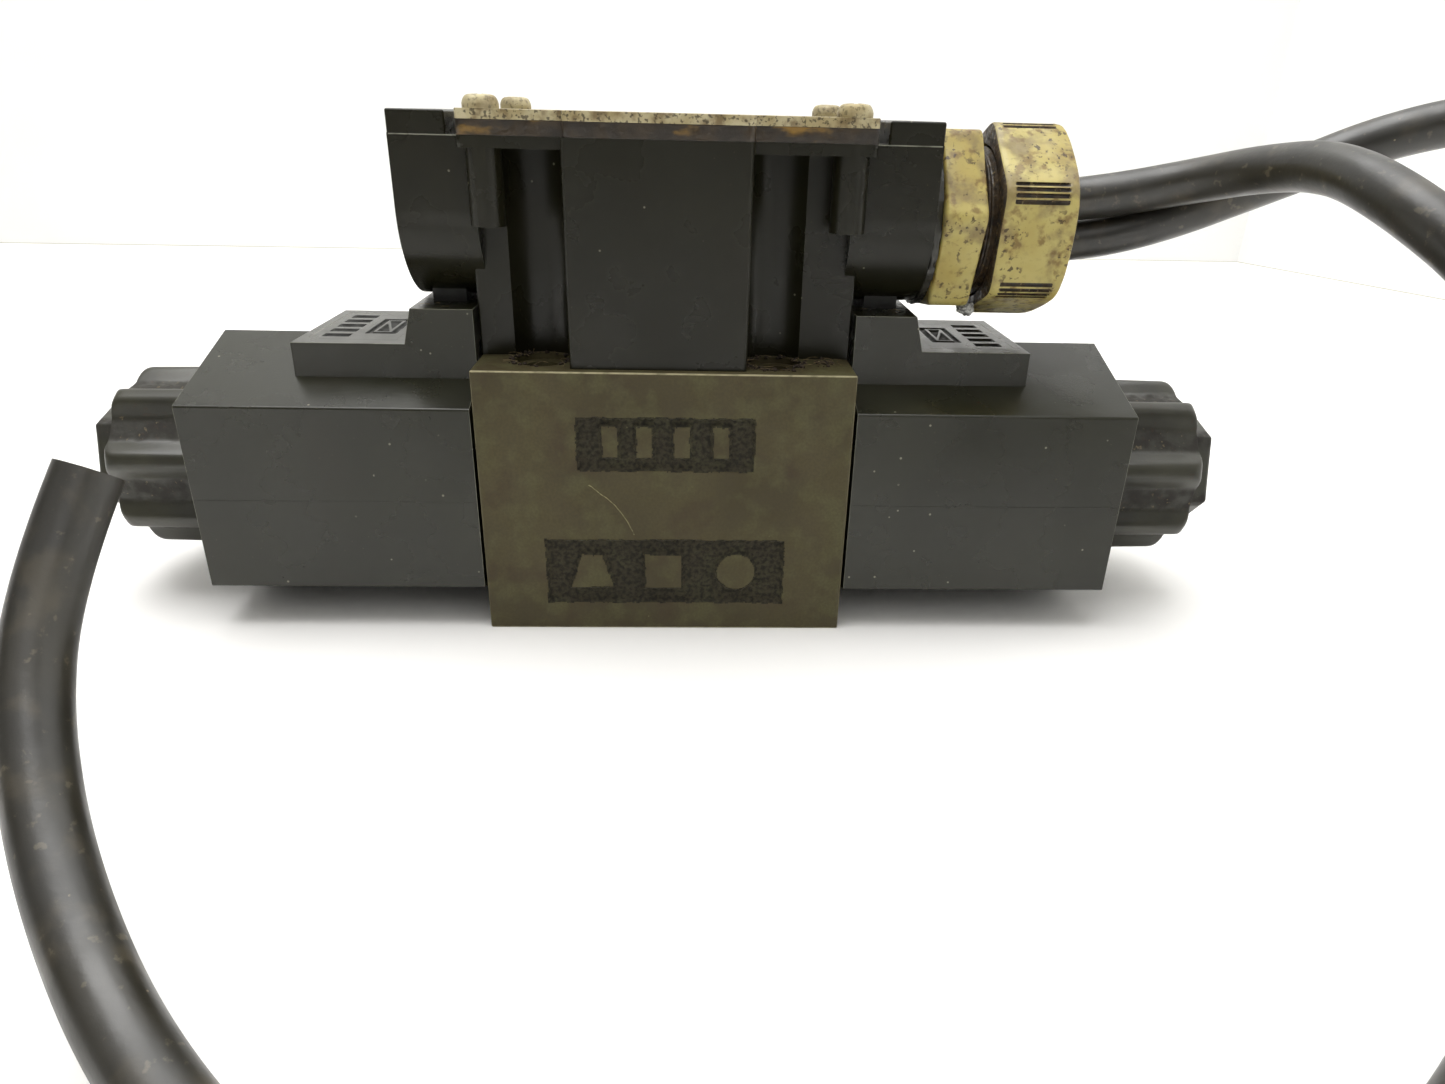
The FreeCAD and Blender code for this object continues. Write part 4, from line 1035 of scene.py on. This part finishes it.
def make_gland_nut():
    """The dome nut: rounded corners with four fine grooves in each, a domed end and a round mouth."""
    low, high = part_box("gland_nut")
    start, end = low.x, high.x
    hexagon = hexagon_radius(GLAND_NUT_FLAT, GLAND_NUT_TURN, GLAND_SAMPLES, 160)
    pitch, half, depth = 1.0 * MM, 0.3 * MM, 0.42 * MM

    def grooved(x):
        share = smooth(x, start + 1.6 * MM, start + 2.1 * MM)
        share *= 1 - smooth(x, end - 2.4 * MM, end - 1.9 * MM)

        def radius(turn):
            reach = hexagon(turn)
            degrees = (math.degrees(turn) - GLAND_NUT_TURN + 30) % 60 - 30
            along = math.radians(degrees) * reach
            near = min(abs(along - pitch * place) for place in (-1.5, -0.5, 0.5, 1.5))
            return reach - depth * share * (1 - smooth(near, half * 0.6, half * 1.3))

        return radius

    profile = [(start + 0.8 * MM, NUT_INSIDE), (start, 13.2 * MM)]
    profile += [(start, shrunk(hexagon, 0.8 * MM)), (start + 0.25 * MM, shrunk(hexagon, 0.2 * MM))]
    profile.append((start + 0.6 * MM, hexagon))
    steps = [start + offset * MM for offset in (1.55, 1.75, 1.95, 2.2)]
    steps += [end - offset * MM for offset in (2.5, 2.25, 2.05, 1.9)]
    profile += [(x, grooved(x)) for x in steps]
    for step in range(1, 8):
        turn = math.pi / 2 * step / 7
        x = end - 1.8 * MM + 1.8 * MM * math.sin(turn)
        profile.append((x, capped(hexagon, 17.4 * MM - 3.0 * MM * (1 - math.cos(turn)))))
    profile += [(end, 10.2 * MM), (end - 0.5 * MM, NUT_MOUTH), (end - 2.4 * MM, NUT_MOUTH)]
    profile += [(end - 2.4 * MM, NUT_INSIDE)]
    bm = spun(profile, GLAND_SAMPLES, GLAND_HEIGHT, closed=True)
    for face in bm.faces:
        middle = face.calc_center_median()
        down, out = middle.z - GLAND_HEIGHT, -middle.y
        floor = hexagon(math.atan2(down, out) % (2 * math.pi)) - 0.13 * MM
        sunk = start + 1.6 * MM < middle.x < end - 1.9 * MM and math.hypot(down, out) < floor
        face.material_index = 1 if sunk or middle.x < start + 0.2 * MM else 0
    data = to_mesh("dome_nut", bm, 40)
    settle("dome_nut", data, "ivory_nylon", "gland_nut", materials=(IVORY, GRIME))


def make_gland_body():
    """The gland's hexagon and, past it, the thread that the dome nut runs on."""
    low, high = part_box("gland_body")
    hex_start, hex_end = GLAND_HEX_START, GLAND_HEX_END
    hexagon = hexagon_radius(GLAND_BODY_FLAT, GLAND_BODY_TURN, GLAND_SAMPLES, 60)
    profile = [(low.x, GLAND_BORE), (low.x, GLAND_SHANK), (hex_start, GLAND_SHANK)]
    profile.append((hex_start, shrunk(hexagon, 0.6 * MM)))
    profile += [(hex_start + 0.2 * MM, shrunk(hexagon, 0.15 * MM)), (hex_start + 0.5 * MM, hexagon)]
    profile += [(hex_end - 0.5 * MM, hexagon), (hex_end - 0.2 * MM, shrunk(hexagon, 0.15 * MM))]
    profile += [(hex_end, shrunk(hexagon, 0.6 * MM)), (hex_end, 12.3 * MM)]
    pitch = 1.5 * MM
    x = hex_end + 0.2 * MM
    while x < high.x - 0.6 * MM:
        profile += [(x, THREAD_ROOT), (x + 0.25 * MM, THREAD_ROOT + 0.05 * MM)]
        profile += [(x + 0.7 * MM, THREAD_CREST), (x + 0.95 * MM, THREAD_CREST)]
        x += pitch
    profile += [(high.x, THREAD_ROOT), (high.x, GLAND_BORE)]
    bm = spun(profile, GLAND_SAMPLES, GLAND_HEIGHT, closed=True)
    for face in bm.faces:
        face.material_index = 1 if face.calc_center_median().x > hex_end - 0.02 * MM else 0
    data = to_mesh("gland_hexagon", bm, 40)
    settle("gland_hexagon", data, "ivory_nylon", "gland_body", materials=(IVORY, GRIME))


def make_washer():
    """A soft sealing washer, squeezed and crumpled, that stands out unevenly round the hexagon."""
    low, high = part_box("gland_washer")
    centre, half_width = (low.x + high.x) / 2, (high.x - low.x) / 2
    middle, half = 13.5 * MM, 1.15 * MM
    samples, sections = 240, 14
    bm = bmesh.new()
    rings = []
    for index in range(sections):
        turn = 2 * math.pi * index / sections
        ring = []
        for sample in range(samples):
            angle = 2 * math.pi * sample / samples
            place = Vector((index * 0.15, 3 * math.cos(angle), 3 * math.sin(angle)))
            swell = noise.fractal(place * 1.9, 0.8, 2.0, 4) * 0.35 * MM
            x = centre + half_width * max(-1, min(1, 1.25 * math.cos(turn)))
            reach = middle + half * max(-1, min(1, 1.3 * math.sin(turn)))
            if math.sin(turn) > 0:
                reach += swell
            ring.append(bm.verts.new((x, -reach * math.cos(angle), GLAND_HEIGHT + reach * math.sin(angle))))
        rings.append(ring)
    for first, second in zip(rings, rings[1:] + rings[:1]):
        bridge(bm, first, second)
    data = to_mesh("crumpled_washer", bm, 60)
    settle("crumpled_washer", data, "seal_rubber", "gland_washer", materials=(TARRY,))


SEALANT_PLACE, SEALANT_SIZE = Vector((54.3, -7.0, 57.2)) * MM, (1.5 * MM, 1.6 * MM, 1.1 * MM)


def make_sealant():
    """A lump of old white sealant under the gland, between the hexagon and the dome nut."""
    bm = bmesh.new()
    bmesh.ops.create_icosphere(bm, subdivisions=5, radius=1.0)
    for vert in bm.verts:
        place = vert.co.copy()
        swell = 1 + 0.35 * noise.fractal(place * 1.7, 0.9, 2.0, 4)
        vert.co = SEALANT_PLACE + place * Vector(SEALANT_SIZE) * swell
    data = to_mesh("sealant_lump", bm, 180)
    settle("sealant_lump", data, "seal_rubber", materials=(SEALANT,))


# ---- dirt that has real thickness
# x, y and number of crumbs, and whether they ring a bolt hole or lie heaped beside it
CRUMB_SPOTS = ((-21.5, -15.5, 46, True), (19.0, -16.25, 90, True), (28.0, -15.0, 34, False))
HOLE_REACH, BODY_FRONT = 5.1, -23.6 * MM
FIBRE_RADIUS = 0.04 * MM


def make_crumbs():
    """Brown crumbs packed round the two bolt holes, and lint caught on them and on the coils' steps."""
    rng = random.Random(4107)
    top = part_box("valve_body")[1].z
    bm = bmesh.new()
    fibres = new_curve("lint_fibres", 1)
    for x, y, number, ringed in CRUMB_SPOTS:
        for _ in range(number):
            angle, reach = rng.uniform(0, 2 * math.pi), rng.gauss(HOLE_REACH, 0.5)
            if not ringed:
                angle, reach = rng.uniform(0, 2 * math.pi), abs(rng.gauss(0, 1.6))
            spot = Vector((x + reach * math.cos(angle), y + reach * math.sin(angle) * 0.95, 0)) * MM
            if spot.y < BODY_FRONT:
                continue
            size = rng.uniform(0.12, 0.42) * MM
            add_crumb(bm, spot + Vector((0, 0, top + size * 0.35)), size, rng)
            if rng.random() < 0.45:
                add_fibre(fibres, spot + Vector((0, 0, top + 0.2 * MM)), rng.uniform(1.2, 3.2) * MM, rng)
    data = to_mesh("bolt_hole_crumbs", bm, 180)
    settle("bolt_hole_crumbs", data, "body_iron", materials=(CRUMBS,))
    for side in SIDES.values():
        for _ in range(4):
            spot = Vector((side * rng.uniform(34, 44), rng.uniform(-14, -9), 57.1)) * MM
            add_fibre(fibres, spot, rng.uniform(0.8, 2.0) * MM, rng)
    settle("lint_fibres", fibres, "body_iron", materials=(LINT,))


def add_crumb(bm, place, size, rng):
    shape = bmesh.ops.create_icosphere(bm, subdivisions=2, radius=size)
    shift = Vector((rng.uniform(0, 9), rng.uniform(0, 9), rng.uniform(0, 9)))
    for vert in shape["verts"]:
        swell = 1 + 0.5 * noise.noise(vert.co / size * 1.4 + shift)
        vert.co = place + Vector((vert.co.x, vert.co.y, vert.co.z * 0.75)) * swell


def add_fibre(data, place, length, rng):
    """A thin curled fibre that wanders off, rising and coming back down."""
    steps = 6
    heading, rise = rng.uniform(0, 2 * math.pi), rng.uniform(-0.2, 0.5)
    places = []
    for index in range(steps + 1):
        places.append(place)
        heading += rng.uniform(-0.7, 0.7)
        stride = Vector((math.cos(heading), math.sin(heading), rise * (1 - 2 * index / steps)))
        place = place + stride * length / steps
    spline = add_spline(data, "NURBS", places, FIBRE_RADIUS)
    spline.order_u = 4
    spline.use_endpoint_u = True


# ---- stage and light
BENCH_REACH = 3.0
WALL_LINE = ((-3.0, 0.404), (0.396, 0.503), (1.0, -1.5))
WALL_HEIGHT = 1.6


def make_stage():
    """A pale bench with two pale walls that meet behind it on the right."""
    bm = bmesh.new()
    corners = [(x * BENCH_REACH, y * BENCH_REACH, 0.0) for x, y in ((-1, -1), (1, -1), (1, 1), (-1, 1))]
    bm.faces.new([bm.verts.new(corner) for corner in corners])
    bench = bpy.data.objects.new("bench", to_mesh("bench", bm))
    bm = bmesh.new()
    foot = [bm.verts.new((x, y, 0.0)) for x, y in WALL_LINE]
    head = [bm.verts.new((x, y, WALL_HEIGHT)) for x, y in WALL_LINE]
    for index in range(len(WALL_LINE) - 1):
        bm.faces.new((foot[index], foot[index + 1], head[index + 1], head[index]))
    walls = bpy.data.objects.new("walls", to_mesh("walls", bm))
    seam_line = [(x, y, 0.0) for x, y in WALL_LINE]
    seam = bpy.data.objects.new("wall_seam", tube("wall_seam", seam_line, 0.4 * MM))
    for thing, tone in ((bench, (250, 249, 247)), (walls, (246, 246, 244)), (seam, (190, 184, 168))):
        s = Shader("pale_" + thing.name, roughness=0.6)
        shade = toned(tone, 0.985)
        mottle = s.blobs(0.09, 3, 0.3, 0.7)
        thing.data.materials.append(s.done(s.blend(mottle, srgb(*tone), shade)))
        bpy.context.scene.collection.objects.link(thing)


def add_light(name, place, target, size, power):
    data = bpy.data.lights.new(name, "AREA")
    data.shape = "RECTANGLE"
    data.size, data.size_y = size
    data.energy = power
    light = bpy.data.objects.new(name, data)
    light.location = place
    light.rotation_mode = "QUATERNION"
    light.rotation_quaternion = (Vector(target) - Vector(place)).to_track_quat("-Z", "Y")
    bpy.context.scene.collection.objects.link(light)


def make_light():
    """A wide soft light from above, with a sky that fades from bright overhead to dim at eye level."""
    scene = bpy.context.scene
    world = bpy.data.worlds.new("studio")
    world.use_nodes = True
    tree = world.node_tree
    backdrop = tree.nodes["Background"]
    backdrop.inputs["Color"].default_value = (1.0, 0.985, 0.95, 1.0)
    heading = tree.nodes.new("ShaderNodeTexCoord")
    split = tree.nodes.new("ShaderNodeSeparateXYZ")
    ramp = tree.nodes.new("ShaderNodeMapRange")
    ramp.interpolation_type = "SMOOTHSTEP"
    for label, number in zip(("From Min", "From Max", "To Min", "To Max"), (0.2, 0.9, 0.07, 0.95)):
        ramp.inputs[label].default_value = number
    tree.links.new(heading.outputs["Generated"], split.inputs[0])
    tree.links.new(split.outputs["Z"], ramp.inputs["Value"])
    tree.links.new(ramp.outputs["Result"], backdrop.inputs["Strength"])
    scene.world = world
    scene.view_settings.view_transform = "Standard"
    add_light("overhead", (-0.12, 0.10, 1.1), (0, 0, 0), (1.0, 0.8), 13.5)
    add_light("front_fill", (0.2, -0.95, 0.7), (0, 0, 0.04), (0.7, 0.5), 0.8)


dress_frame()
for cable in (front_cable, rear_cable):
    cable.data.materials.append(JACKET)
body_marks()
body_scratch()
make_coils()
make_nuts()
make_box()
make_lid()
make_gland()
make_springs()
make_cut_end()
make_crumbs()
make_stage()
make_light()
